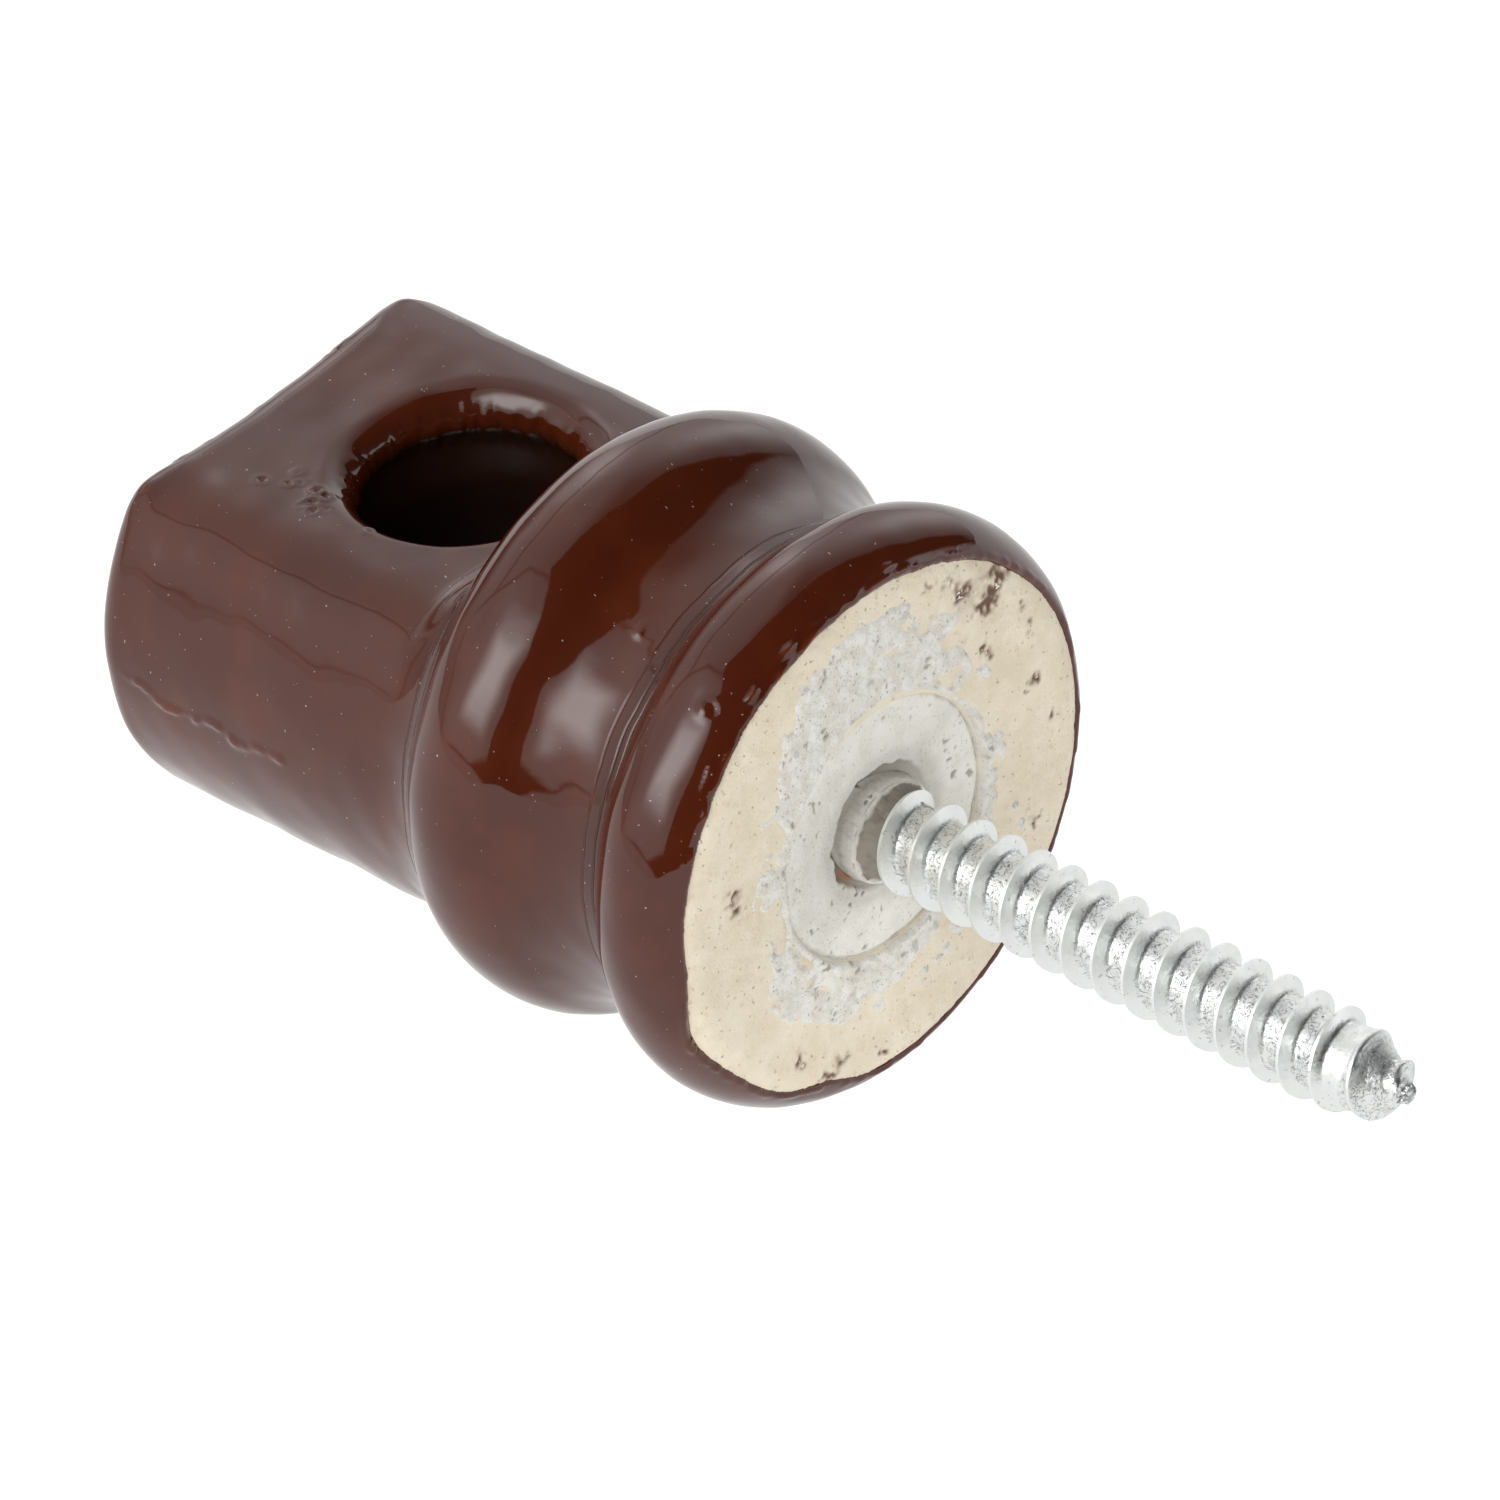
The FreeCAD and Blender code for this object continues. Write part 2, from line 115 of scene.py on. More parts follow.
# Lag screw, measured out from the base face.
SHANK_RADIUS = 5.0
SHOULDER = 0.6
THREAD_RADIUS, ROOT_RADIUS = 4.75, 3.4
PITCH = 3.629
FIRST_CREST = 1.7
CONE_START, CONE_LENGTH, TIP_RADIUS = 56.6, 4.9, 0.85
HEX_HALF_FLATS = 7.15
HEX_FRONT = -14.8
HEX_REACH = 8.27
AXIS_RADIUS = 0.01


# ------------ Random surfaces ------------
def waves(points, length, seed, count=16):
    """A smooth random ripple of unit size: plane waves of one length, each in its own direction."""
    random = np.random.default_rng(seed)
    ways = random.normal(size=(count, 3))
    ways *= TURN / length / np.linalg.norm(ways, axis=1)[:, None]
    phases = random.uniform(0, TURN, count)
    return np.cos(points @ ways.T + phases).sum(axis=1) * math.sqrt(2 / count)


def grain(points, size, seed):
    """Smooth random heights from -1 to 1, whose lumps measure about one size across."""
    table = np.random.default_rng(seed).uniform(-1, 1, (32, 32, 32))
    cells = points / size
    low = np.floor(cells).astype(int)
    part = cells - low
    part = part * part * (3 - 2 * part)
    total = np.zeros(len(points))
    for corner in itertools.product((0, 1), repeat=3):
        weight = np.prod(np.where(corner, part, 1 - part), axis=1)
        i, j, k = ((low + corner) % 32).T
        total += weight * table[i, j, k]
    return total


def cloud(points, size, seed, octaves=4):
    """Grain on grain, each octave half the size and half the height of the one before."""
    return sum(
        grain(points, size / 2**n, seed + n) / 2**n for n in range(octaves)
    )


def ramp(value, low, high):
    """0 below low, 1 above high, and a smooth rise between."""
    part = np.clip((value - low) / (high - low), 0, 1)
    return part * part * (3 - 2 * part)


# ------------ Shape of the body ------------
# A field is negative inside, positive outside, and near enough a distance close to the surface.
def rounded_max(a, b, radius):
    """What lies inside both fields, with the edge between them rounded."""
    inner = np.minimum(np.maximum(a, b), -radius)
    return inner + np.hypot(np.maximum(a + radius, 0), np.maximum(b + radius, 0))


def turned_radius(x):
    """Radius of the turned body at a place along its axis."""
    base_centre = BEAD_RADIUS - BASE_BEAD_ROUND
    upper_centre = BEAD_RADIUS - UPPER_BEAD_ROUND
    waist_centre = WAIST_RADIUS + WAIST_ROUND
    reach = UPPER_BEAD_ROUND + WAIST_ROUND
    ahead = math.sqrt(reach**2 - (waist_centre - upper_centre) ** 2)
    waist_place = ahead - UPPER_BEAD_BACK
    waist_end = ahead * UPPER_BEAD_ROUND / reach - UPPER_BEAD_BACK

    def bulge(centre, back, radius):
        return centre + np.sqrt(np.maximum(radius**2 - (x + back) ** 2, 0))

    def dip(centre, place, radius):
        return centre - np.sqrt(np.maximum(radius**2 - (x - place) ** 2, 0))

    base = bulge(base_centre, BASE_BEAD_BACK, BASE_BEAD_ROUND)
    base = np.where(x > -BASE_BEAD_BACK - BASE_BEAD_ROUND, base, 0)
    upper = bulge(upper_centre, UPPER_BEAD_BACK, UPPER_BEAD_ROUND)
    waist = dip(waist_centre, waist_place, WAIST_ROUND)
    waist = np.where(x < -1.6 * BASE_BEAD_BACK, waist, 0)
    neck = dip(HEAD_RADIUS + NECK_ROUND, -NECK_BACK, NECK_ROUND)
    neck = np.where(x < -(UPPER_BEAD_BACK + NECK_BACK) / 2, neck, 0)
    head_side = np.where(x < -NECK_BACK, HEAD_RADIUS, np.maximum(neck, upper))
    body_side = np.where(x > waist_end, np.maximum(waist, base), upper)
    return np.where(x < -UPPER_BEAD_BACK, head_side, body_side)


def bell(value, centre, width):
    """1 at the centre and falling away on each side."""
    return np.exp(-(((value - centre) / width) ** 2))


def facing(angle, centre, width):
    """A bell over angles, its centre and width in degrees."""
    return bell(clock(angle, centre), 0, width)


def wire_hole(points):
    """Field of the wire hole, whose lip the glaze has drawn into teeth, and each point's angle."""
    height = abs(points[:, 2])
    lip = ramp(height, LIP_START - 0.5, LIP_START + 1.5)
    shift = LIP_SHIFT * ramp(points[:, 2], LIP_START - 4.0, LIP_START + 1.0)[:, None]
    away = points[:, :2] - shift
    away[:, 0] += HOLE_BACK
    across = np.hypot(away[:, 0], away[:, 1])
    angle = np.arctan2(away[:, 1], away[:, 0])
    mouth = (abs(across - HOLE_RADIUS) < 3.0) & (height > LIP_START - 1.0)
    round_hole = [6 * np.cos(angle), 6 * np.sin(angle), points[:, 2] * 0.15]
    spot = np.stack(round_hole, axis=1)[mouth]
    teeth = np.zeros(len(points))
    teeth[mouth] = 0.22 * grain(spot, 0.35, 41) + 0.20 * grain(spot, 1.1, 42)
    teeth *= ramp(height, LIP_START - 1.0, LIP_START + 0.5)
    teeth *= ramp(height, FLAT_HEIGHT, FLAT_HEIGHT - 2.0)
    radius = HOLE_RADIUS + (LIP_RADIUS - HOLE_RADIUS) * lip
    return radius + teeth - across, angle


def side_field(points):
    """Field of the glazed body without its base face."""
    x = points[:, 0]
    lean = LEAN_SLOPE * np.maximum(-x - LEAN_START, 0)
    y = points[:, 1] - LEAN_WAY[1] * lean
    z = points[:, 2] - LEAN_WAY[2] * lean
    step = 0.02
    slope = (turned_radius(x + step) - turned_radius(x - step)) / (2 * step)
    slope = np.clip(slope, -1.6, 1.6)
    field = (np.hypot(y, z) - turned_radius(x)) / np.sqrt(1 + slope**2)
    field = rounded_max(field, -BODY_LENGTH - x, END_ROUND)
    floor = FLAT_HEIGHT + HOLLOW_RADIUS - np.sqrt(HOLLOW_RADIUS**2 - y**2)
    cutter = rounded_max(floor - abs(z), x + SHOULDER_BACK, RUNOUT_ROUND)
    on_shoulder = np.clip((x + SHOULDER_BACK + 4) / 4, 0, 1)
    field = rounded_max(field, -cutter, FLAT_EDGE_ROUND + (1 - FLAT_EDGE_ROUND) * on_shoulder)
    hole, angle = wire_hole(np.stack([x, y, z], axis=1))
    far = ramp(abs(clock(angle, FAR_SIDE_ANGLE)), 165, 70)
    return rounded_max(field, hole, NEAR_ROUND + (FAR_ROUND - NEAR_ROUND) * far)


def value_and_slope(field, points, step=0.005):
    """A field's value and its slope in each direction."""
    value = field(points)
    slopes = [(field(points + axis) - value) / step for axis in np.eye(3) * step]
    return value, np.stack(slopes, axis=1)


def settle(points, field, times=3):
    """Moves points onto a field's surface."""
    for _ in range(times):
        value, slope = value_and_slope(field, points)
        points = points - slope * (value / (slope**2).sum(axis=1))[:, None]
    return points


# ------------ Meshes from fields ------------
def samples_inside(field, low, high, step):
    """Whether each lattice point is inside. Blocks far from the surface share one answer."""
    side = 4
    blocks = [math.ceil((b - a) / (side * step)) for a, b in zip(low, high)]
    corner = np.stack(np.meshgrid(*map(np.arange, blocks), indexing="ij"), axis=-1)
    corner = corner.reshape(-1, 3)
    middle = low + (corner * side + (side - 1) / 2) * step
    value = field(middle)
    near = abs(value) < side * step * 1.2
    inside = np.repeat(value < 0, side**3).reshape(-1, side, side, side)
    within = np.stack(np.meshgrid(*[np.arange(side)] * 3, indexing="ij"), axis=-1)
    fine = low + (corner[near, None, None, None] * side + within) * step
    inside[near] = (field(fine.reshape(-1, 3)) < 0).reshape(-1, side, side, side)
    inside = inside.reshape(*blocks, side, side, side).transpose(0, 3, 1, 4, 2, 5)
    return inside.reshape([n * side for n in blocks])


def sheet(field, low, high, step):
    """Points and quads of the surface where a field changes sign inside a box."""
    inside = samples_inside(field, low, high, step)
    lower, upper, middle = slice(0, -1), slice(1, None), slice(1, -1)
    count = np.zeros([n - 1 for n in inside.shape], np.uint8)
    for corner in itertools.product((lower, upper), repeat=3):
        count += inside[corner]
    crossed = (count > 0) & (count < 8)
    number = np.full(crossed.shape, -1)
    number[crossed] = np.arange(crossed.sum())
    points = np.array(low) + (np.argwhere(crossed) + 0.5) * step

    quads = []
    for axis in range(3):
        others = [a for a in range(3) if a != axis]
        window = [middle, middle, middle]
        window[axis] = lower
        here = inside[tuple(window)]
        window[axis] = upper
        there = inside[tuple(window)]
        cells = np.argwhere(here != there)
        outward = here[tuple(cells.T)] != (axis == 1)
        around = []
        for first, second in ((0, 0), (1, 0), (1, 1), (0, 1)):
            shift = np.zeros(3, int)
            shift[others] = first, second
            around.append(number[tuple((cells + shift).T)])
        ring = np.stack(around, axis=1)
        quads.append(np.where(outward[:, None], ring, ring[:, ::-1]))
    return points, np.concatenate(quads)


def evened(points, quads, field, times=4):
    """A sheet whose points are spread evenly over its field's surface."""
    ends = np.concatenate([quads, np.roll(quads, -1, axis=1)])
    starts = np.concatenate([np.roll(quads, -1, axis=1), quads])
    weight = np.bincount(starts.ravel(), minlength=len(points))
    points = settle(points, field, 2)
    for _ in range(times):
        total = [
            np.bincount(starts.ravel(), points[ends.ravel(), axis], len(points))
            for axis in range(3)
        ]
        average = np.stack(total, axis=1) / np.maximum(weight, 1)[:, None]
        points = settle(points + 0.6 * (average - points), field, 1)
    return settle(points, field, 2)


def trimmed(points, quads, keep):
    """The part of a sheet whose faces have every corner kept, renumbered."""
    quads = quads[keep[quads].all(axis=1)]
    used = np.unique(quads)
    number = np.full(len(points), -1)
    number[used] = np.arange(len(used))
    return points[used], number[quads]


def rim_loop(quads):
    """Corner numbers along a sheet's one open edge, in order."""
    starts = quads.ravel()
    ends = np.roll(quads, -1, axis=1).ravel()
    edges = set(zip(starts.tolist(), ends.tolist()))
    following = {a: b for a, b in edges if (b, a) not in edges}
    loop = [min(following)]
    while following[loop[-1]] != loop[0]:
        loop.append(following[loop[-1]])
    return loop


def angle_round(points):
    """Angle of each point about the body's axis."""
    return np.arctan2(points[:, 2], points[:, 1])


def zipped(points, first, second):
    """Triangles that join two loops of corners that run the same way round the axis."""
    def unrolled(loop):
        angles = np.unwrap(angle_round(points[loop]))
        start = int(np.argmin(angles % TURN))
        turned = np.roll(loop, -start)
        angles = np.unwrap(angle_round(points[turned]))
        angles -= TURN * math.floor(angles[0] / TURN)
        way = math.copysign(1, angles[-1] - angles[0])
        return np.append(turned, turned[0]), np.append(angles, angles[0] + way * TURN) * way

    a, a_angles = unrolled(first)
    b, b_angles = unrolled(second)
    faces = []
    i = j = 0
    while i < len(a) - 1 or j < len(b) - 1:
        step_a = j == len(b) - 1 or (i < len(a) - 1 and a_angles[i + 1] <= b_angles[j + 1])
        if step_a:
            faces.append((a[i], b[j], a[i + 1]))
            i += 1
        else:
            faces.append((a[i], b[j], b[j + 1]))
            j += 1
    return faces


def make_piece(name, points, face_sets, material, crease_angle=None, **marks):
    """A mesh object from points in millimetres, with marks kept on its points for the material."""
    face_sets = [np.array(faces) for faces in face_sets]
    corners = np.concatenate([faces.ravel() for faces in face_sets])
    sizes = np.concatenate([np.full(len(faces), faces.shape[1]) for faces in face_sets])
    mesh = bpy.data.meshes.new(name)
    mesh.vertices.add(len(points))
    mesh.vertices.foreach_set("co", (points * MM).ravel())
    mesh.loops.add(len(corners))
    mesh.loops.foreach_set("vertex_index", corners)
    mesh.polygons.add(len(sizes))
    mesh.polygons.foreach_set("loop_start", np.cumsum(sizes) - sizes)
    mesh.update(calc_edges=True)
    mesh.validate()
    mesh.shade_smooth()
    if crease_angle:
        mesh.set_sharp_from_angle(angle=crease_angle)
    for mark, values in marks.items():
        layer = mesh.attributes.new(mark, "FLOAT", "POINT")
        layer.data.foreach_set("value", values.astype(np.float32))
    mesh.materials.append(material)
    piece = bpy.data.objects.new(name, mesh)
    bpy.context.scene.collection.objects.link(piece)
    return piece


def attach(piece, node):
    """The piece stands for a CAD node and moves with the part's one body."""
    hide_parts(node)
    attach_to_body(piece, "root")


# ------------ Glaze line on the base ------------
RIM_RADIUS = BEAD_RADIUS - BASE_BEAD_ROUND + math.sqrt(BASE_BEAD_ROUND**2 - BASE_BEAD_BACK**2)
PROUD = 0.3


def reach_over_rim(points):
    """How far over the base rim a point lies: radius on the base face, growing up the bead."""
    return np.hypot(points[:, 1], points[:, 2]) - points[:, 0]


def glaze_line(angle):
    """Where the glaze stops, as a reach over the rim: an uneven line close to the rim."""
    ring = np.stack([8 * np.cos(angle), 8 * np.sin(angle), 0 * angle], axis=1)
    wander = 0.35 * grain(ring, 2.4, 51) + 0.16 * grain(ring, 0.8, 52)
    wander += 0.07 * grain(ring, 0.25, 53)
    tucked = 1.6 * bell(np.degrees(angle), -163, 11)
    lapped = 1.3 * bell(np.degrees(angle), -116, 9)
    return RIM_RADIUS - 0.1 + wander + tucked - lapped


def line_ahead(points):
    """How far a point lies beyond the glaze line, on its glazed side."""
    return reach_over_rim(points) - glaze_line(angle_round(points))


def glazed_field(points):
    """The outside of the glaze, which laps a little way over the base face."""
    return rounded_max(side_field(points), points[:, 0] - PROUD, 1.2)


def clay_field(points):
    """The fired clay under the glaze, flush with the base face."""
    return rounded_max(side_field(points) + GLAZE, points[:, 0], 0.7)


# ------------ Marks in the glaze ------------
def blob(points, place, width):
    """A soft round lump of unit height."""
    return np.exp(-((points - place) ** 2).sum(axis=1) / width**2)


def crater(points, place, radius):
    """A pinhole with a raised rim, of about unit depth."""
    away = np.linalg.norm(points - place, axis=1) / radius
    return 0.5 * bell(away, 1.1, 0.4) - bell(away, 0, 0.75)


def thread_of_glaze(points, start, end, width):
    """A soft straight ridge of unit height from one point to another."""
    start, end = np.array(start), np.array(end)
    along = np.clip((points - start) @ (end - start) / ((end - start) ** 2).sum(), 0, 1)
    nearest = start + along[:, None] * (end - start)
    return np.exp(-((points - nearest) ** 2).sum(axis=1) / width**2)


def swelling(points):
    """Height of the glaze above its smooth form, in millimetres."""
    height = 0.035 * waves(points, 9.0, 11) + 0.010 * waves(points, 4.0, 12)
    ragged = np.clip(0.5 + 0.8 * grain(points, 0.9, 13), 0, 1.2)
    bent = points + np.stack([0 * height, 0 * height, 0.9 * grain(points, 3.0, 14)], axis=1)
    crawl = thread_of_glaze(bent, (-71.5, -24.9, 0.2), (-51.5, -24.9, -0.6), 0.42)
    height += 0.40 * crawl * ragged
    flat = FLAT_HEIGHT + 0.3
    random = np.random.default_rng(21)
    for _ in range(13):
        away_x, away_y = random.normal(0, (3.4, 1.3))
        place = np.array([-58.6 + away_x, -10.4 - 0.25 * away_x + away_y, flat])
        height += random.uniform(0.16, 0.32) * crater(points, place, random.uniform(0.35, 0.6))
    for place, radius in (((-16.8, -10.8, 21.8), 0.50), ((-3.5, -16.5, 23.0), 0.55)):
        height += 0.22 * blob(points, np.array(place), 1.1 * radius)
        height += 0.10 * crater(points, np.array(place) + (0.3, 0.5, -0.3), 1.6 * radius)
    end = -BODY_LENGTH + 0.9
    for side in (-17.6, 17.2):
        height += 0.75 * blob(points, np.array([end + 0.4, side, FLAT_HEIGHT + 0.4]), 1.5)
    for side in (-11.5, -8.0, -3.2, 1.0, 6.5, 9.0):
        along, across = random.uniform(-0.3, 0.4), random.uniform(-1, 1)
        place = np.array([end + along, side + across, flat - 0.7])
        height += random.uniform(0.15, 0.3) * crater(points, place, random.uniform(0.5, 0.9))
    height -= 0.20 * blob(points, np.array([-24.6, -27.0, 6.8]), 1.3)
    height -= 0.12 * blob(points, np.array([-2.3, -26.5, 8.1]), 0.9)
    return height


def rim_beads(points):
    """The broken lip where the glaze drew back from the base rim, and a few runs above it."""
    near = points[:, 0] > -4.5
    close = points[near]
    ahead = line_ahead(close)
    angle = angle_round(close)
    upper = facing(angle, 118, 52)
    lumps = np.clip(grain(close, 1.1, 33) + 0.35, 0, 1)
    lip = (0.20 + 0.34 * upper) * bell(ahead, 0.9, 0.42) * lumps
    dashes = np.clip(grain(close * (0.35, 1, 1), 1.6, 34) - 0.05, 0, 1)
    run = bell(ahead, 2.2 + 0.4 * grain(close, 5.0, 35), 0.38) * facing(angle, 108, 34)
    height = np.zeros(len(points))
    height[near] = lip + 0.75 * run * dashes
    return height


# ------------ Shaders ------------
class Nodes:
    """A node tree being built: each call adds one node and hands back one of its outputs."""

    def __init__(self, tree):
        self.tree = tree
        tree.nodes.clear()

    def add(self, kind, inputs=None, output=0, **settings):
        node = self.tree.nodes.new("ShaderNode" + kind)
        for name, value in settings.items():
            setattr(node, name, value)
        for key, value in (inputs or {}).items():
            if isinstance(value, bpy.types.NodeSocket):
                self.tree.links.new(value, node.inputs[key])
            else:
                node.inputs[key].default_value = value
        return node.outputs[output] if len(node.outputs) else None

    def math(self, operation, *values):
        return self.add("Math", dict(enumerate(values)), operation=operation)

    def total(self, first, *others):
        return self.math("ADD", first, self.total(*others)) if others else first

    def times(self, first, *others):
        return self.math("MULTIPLY", first, self.times(*others)) if others else first

    def rise(self, value, low, high, start=0.0, end=1.0):
        """A smooth rise from start to end, or a fall where low is more than high."""
        settings = {"Value": value, "From Min": low, "From Max": high}
        settings |= {"To Min": start, "To Max": end}
        return self.add("MapRange", settings, interpolation_type="SMOOTHSTEP")

    def hill(self, value, centre, width):
        """1 at the centre and falling away on each side like a bell."""
        away = self.math("DIVIDE", self.math("SUBTRACT", value, centre), width)
        return self.math("EXPONENT", self.times(self.times(away, away), -1.0))

    def axis(self, vector, number):
        return self.add("SeparateXYZ", {0: vector}, number)

    def place(self):
        """Place on the object in millimetres."""
        spot = self.add("TexCoord", output="Object")
        return self.add("VectorMath", {0: spot, "Scale": 1 / MM}, operation="SCALE")

    def noise(self, vector, size, detail=2.0, roughness=0.5, distortion=0.0):
        settings = {"Vector": vector, "Scale": 1 / size, "Detail": detail}
        settings |= {"Roughness": roughness, "Distortion": distortion}
        return self.add("TexNoise", settings)

    def mixed(self, factor, first, second):
        return self.add("Mix", {0: factor, 6: first, 7: second}, 2, data_type="RGBA")

    def mark(self, name):
        return self.add("Attribute", output="Fac", attribute_name=name)

    def bump(self, height, distance, normal=None):
        settings = {"Height": height, "Distance": distance * MM, "Strength": 1.0}
        if normal:
            settings["Normal"] = normal
        return self.add("Bump", settings)

    def surface(self, **inputs):
        """The finished surface. Inputs are the Principled shader's, with _ for a space."""
        named = {name.replace("_", " "): value for name, value in inputs.items()}
        shader = self.add("BsdfPrincipled", named)
        self.add("OutputMaterial", {"Surface": shader})


def colour(red, green, blue):
    return red, green, blue, 1.0


def new_material(name):
    material = bpy.data.materials.new(name)
    material.use_nodes = True
    return material, Nodes(material.node_tree)


# Lines left by the turning tool, and painted shade along the waist and neck grooves, measured back
# from the base face.
RING_BACKS = (12.1, 12.9, 14.3, 34.2, 35.2)
WAIST_GROOVE_SHADE, NECK_GROOVE_SHADE = (12.9, 1.3), (34.4, 0.8)


def brown_glaze():
    """Deep chocolate glaze, redder where it runs thin, with turned rings, dust and ripple, and
    painted shade in its grooves and inside the wire hole.
    """
    material, nodes = new_material("brown_glaze")
    spot = nodes.place()
    patches = nodes.rise(nodes.noise(spot, 9.0, 3.0), 0.40, 0.70, 0.0, 0.35)
    thin = nodes.math("MINIMUM", nodes.total(nodes.mark("thin"), patches), 1.0)
    deep, warm = colour(0.066, 0.0114, 0.0038), colour(0.122, 0.0250, 0.0080)
    brown = nodes.mixed(thin, deep, warm)
    dust = nodes.rise(nodes.noise(spot, 0.42, 1.0), 0.765, 0.80)
    back = nodes.times(nodes.axis(spot, 0), -1.0)
    wander = nodes.times(nodes.noise(spot, 7.0, 2.0), 0.9)
    turned_back = nodes.total(back, wander, -0.45)
    rings = nodes.total(*[nodes.hill(turned_back, place, 0.13) for place in RING_BACKS])
    # Painted shade: the glaze colour is darkened along the waist and neck grooves.
    groove_shade = nodes.total(nodes.hill(turned_back, *WAIST_GROOVE_SHADE), nodes.hill(turned_back, *NECK_GROOVE_SHADE))
    groove_shaded = nodes.mixed(nodes.times(groove_shade, 0.45), brown, colour(0.03, 0.007, 0.003))
    dusty = nodes.mixed(nodes.times(dust, 0.55), groove_shaded, colour(0.6, 0.52, 0.46))
    # Painted shade: inside the wire hole the glaze is coloured near black, and made rougher and
    # duller.
    bore = nodes.mark("bore")
    shown = nodes.mixed(bore, dusty, colour(0.016, 0.0055, 0.003))
    smudge = nodes.rise(nodes.noise(spot, 2.5, 4.0), 0.3, 0.8, 0.025, 0.06)
    rough = nodes.total(smudge, nodes.times(dust, 0.3), nodes.times(bore, 0.35))
    gloss = nodes.total(0.5, nodes.times(bore, -0.46))
    cut = nodes.bump(nodes.times(rings, -1.0), 0.06)
    normal = nodes.bump(nodes.noise(spot, 1.6, 2.0, 0.4), 0.010, cut)
    nodes.surface(Base_Color=shown, Roughness=rough, IOR=1.54, Specular_IOR_Level=gloss,
                  Normal=normal)
    return material


def bare_porcelain():
    """Unglazed fired clay: cream, slightly sandy, with fine dark specks and brown stains."""
    material, nodes = new_material("bare_porcelain")
    spot = nodes.place()
    tone = nodes.rise(nodes.noise(spot, 5.0, 6.0, 0.65), 0.32, 0.68)
    cream = nodes.mixed(tone, colour(0.95, 0.86, 0.69), colour(0.86, 0.755, 0.575))
    tan = nodes.rise(nodes.noise(spot, 1.3, 4.0, 0.6), 0.57, 0.72, 0.0, 0.6)
    toned = nodes.mixed(tan, cream, colour(0.78, 0.62, 0.44))
    speck = nodes.rise(nodes.noise(spot, 0.55, 1.0), 0.70, 0.76)
    flecked = nodes.mixed(nodes.times(speck, 0.7), toned, colour(0.42, 0.29, 0.18))
    stained = nodes.mixed(nodes.mark("stain"), flecked, colour(0.17, 0.085, 0.055))
    pinholes = nodes.times(nodes.rise(nodes.noise(spot, 0.7, 1.0), 0.30, 0.24), -1.0)
    holes = nodes.bump(pinholes, 0.12)
    sand = nodes.bump(nodes.noise(spot, 0.3, 4.0, 0.6), 0.09, holes)
    nodes.surface(Base_Color=stained, Roughness=0.75, IOR=1.5, Normal=sand)
    return material


def grey_cement():
    """Set cement: pale grey, smooth on its face, sandy where it is smeared over the clay."""
    material, nodes = new_material("cement")
    spot = nodes.place()
    tone = nodes.rise(nodes.noise(spot, 4.0, 7.0, 0.65), 0.33, 0.67)
    face = nodes.mixed(tone, colour(0.985, 0.96, 0.895), colour(0.86, 0.83, 0.76))
    crusted = nodes.mixed(nodes.mark("crust"), face, colour(0.31, 0.28, 0.235))
    patch = nodes.rise(nodes.noise(spot, 1.7, 6.0, 0.7), 0.40, 0.60)
    sandy = nodes.mixed(patch, colour(0.99, 0.975, 0.92), colour(0.89, 0.845, 0.745))
    smeared = nodes.mixed(nodes.mark("smear"), crusted, sandy)
    dark = nodes.mixed(nodes.mark("shade"), smeared, colour(0.17, 0.155, 0.13))
    grit = nodes.rise(nodes.noise(spot, 0.30, 2.0), 0.63, 0.70)
    grit = nodes.times(grit, nodes.rise(nodes.mark("smear"), 0.0, 1.0, 0.35, 0.6))
    gritty = nodes.mixed(grit, dark, colour(0.33, 0.28, 0.22))
    rusted = nodes.mixed(nodes.mark("rust"), gritty, colour(0.38, 0.16, 0.06))
    uneven = nodes.bump(nodes.noise(spot, 0.9, 5.0, 0.7), 0.16)
    coarseness = nodes.rise(nodes.mark("smear"), 0.0, 1.0, 0.35, 1.0)
    coarse = nodes.times(nodes.noise(spot, 0.35, 4.0, 0.7), coarseness)
    sand = nodes.bump(coarse, 0.22, uneven)
    nodes.surface(Base_Color=rusted, Roughness=0.85, IOR=1.45, Normal=sand)
    return material


def zinc_plate():
    """Dull zinc on rolled steel, faintly yellow and blue, with rolling marks down in the thread."""
    material, nodes = new_material("zinc_plate")
    spot = nodes.place()
    blue, yellow = colour(0.82, 0.865, 0.885), colour(0.90, 0.895, 0.84)
    tint = nodes.mixed(nodes.noise(spot, 2.5, 3.0), blue, yellow)
    wriggle = nodes.math("ABSOLUTE", nodes.total(nodes.noise(spot, 0.85, 3.0, 0.6, 1.2), -0.5))
    mark = nodes.times(nodes.rise(wriggle, 0.022, 0.004), nodes.mark("root"))
    worn = nodes.mixed(nodes.times(mark, 0.8), tint, colour(0.16, 0.17, 0.17))
    flaw = nodes.rise(nodes.noise(spot, 0.5, 2.0), 0.66, 0.74)
    spotted = nodes.mixed(nodes.times(flaw, 0.5), worn, colour(0.30, 0.31, 0.31))
    rough = nodes.rise(nodes.noise(spot, 1.2, 4.0), 0.3, 0.7, 0.33, 0.46)
    scored = nodes.bump(nodes.times(mark, -1.0), 0.08)
    normal = nodes.bump(nodes.noise(spot, 0.5, 4.0, 0.6), 0.07, scored)
    nodes.surface(Base_Color=spotted, Metallic=1.0, Roughness=rough, Normal=normal)
    return material


# ------------ Porcelain and glaze ------------
MARGIN = 1.5
low_corner = glaze_low - MARGIN
high_corner = glaze_high + MARGIN


def clay_sheet(step=1.1, beyond=29.0):
    """The buried face between clay and glaze, from a little way back of the rim."""
    points, quads = sheet(clay_field, low_corner, high_corner, step)
    points = evened(points, quads, clay_field)
    return trimmed(points, quads, reach_over_rim(points) > beyond)


def normals(points, field):
    """Unit directions away from a field's surface."""
    _, slope = value_and_slope(field, points)
    return slope / np.linalg.norm(slope, axis=1)[:, None]


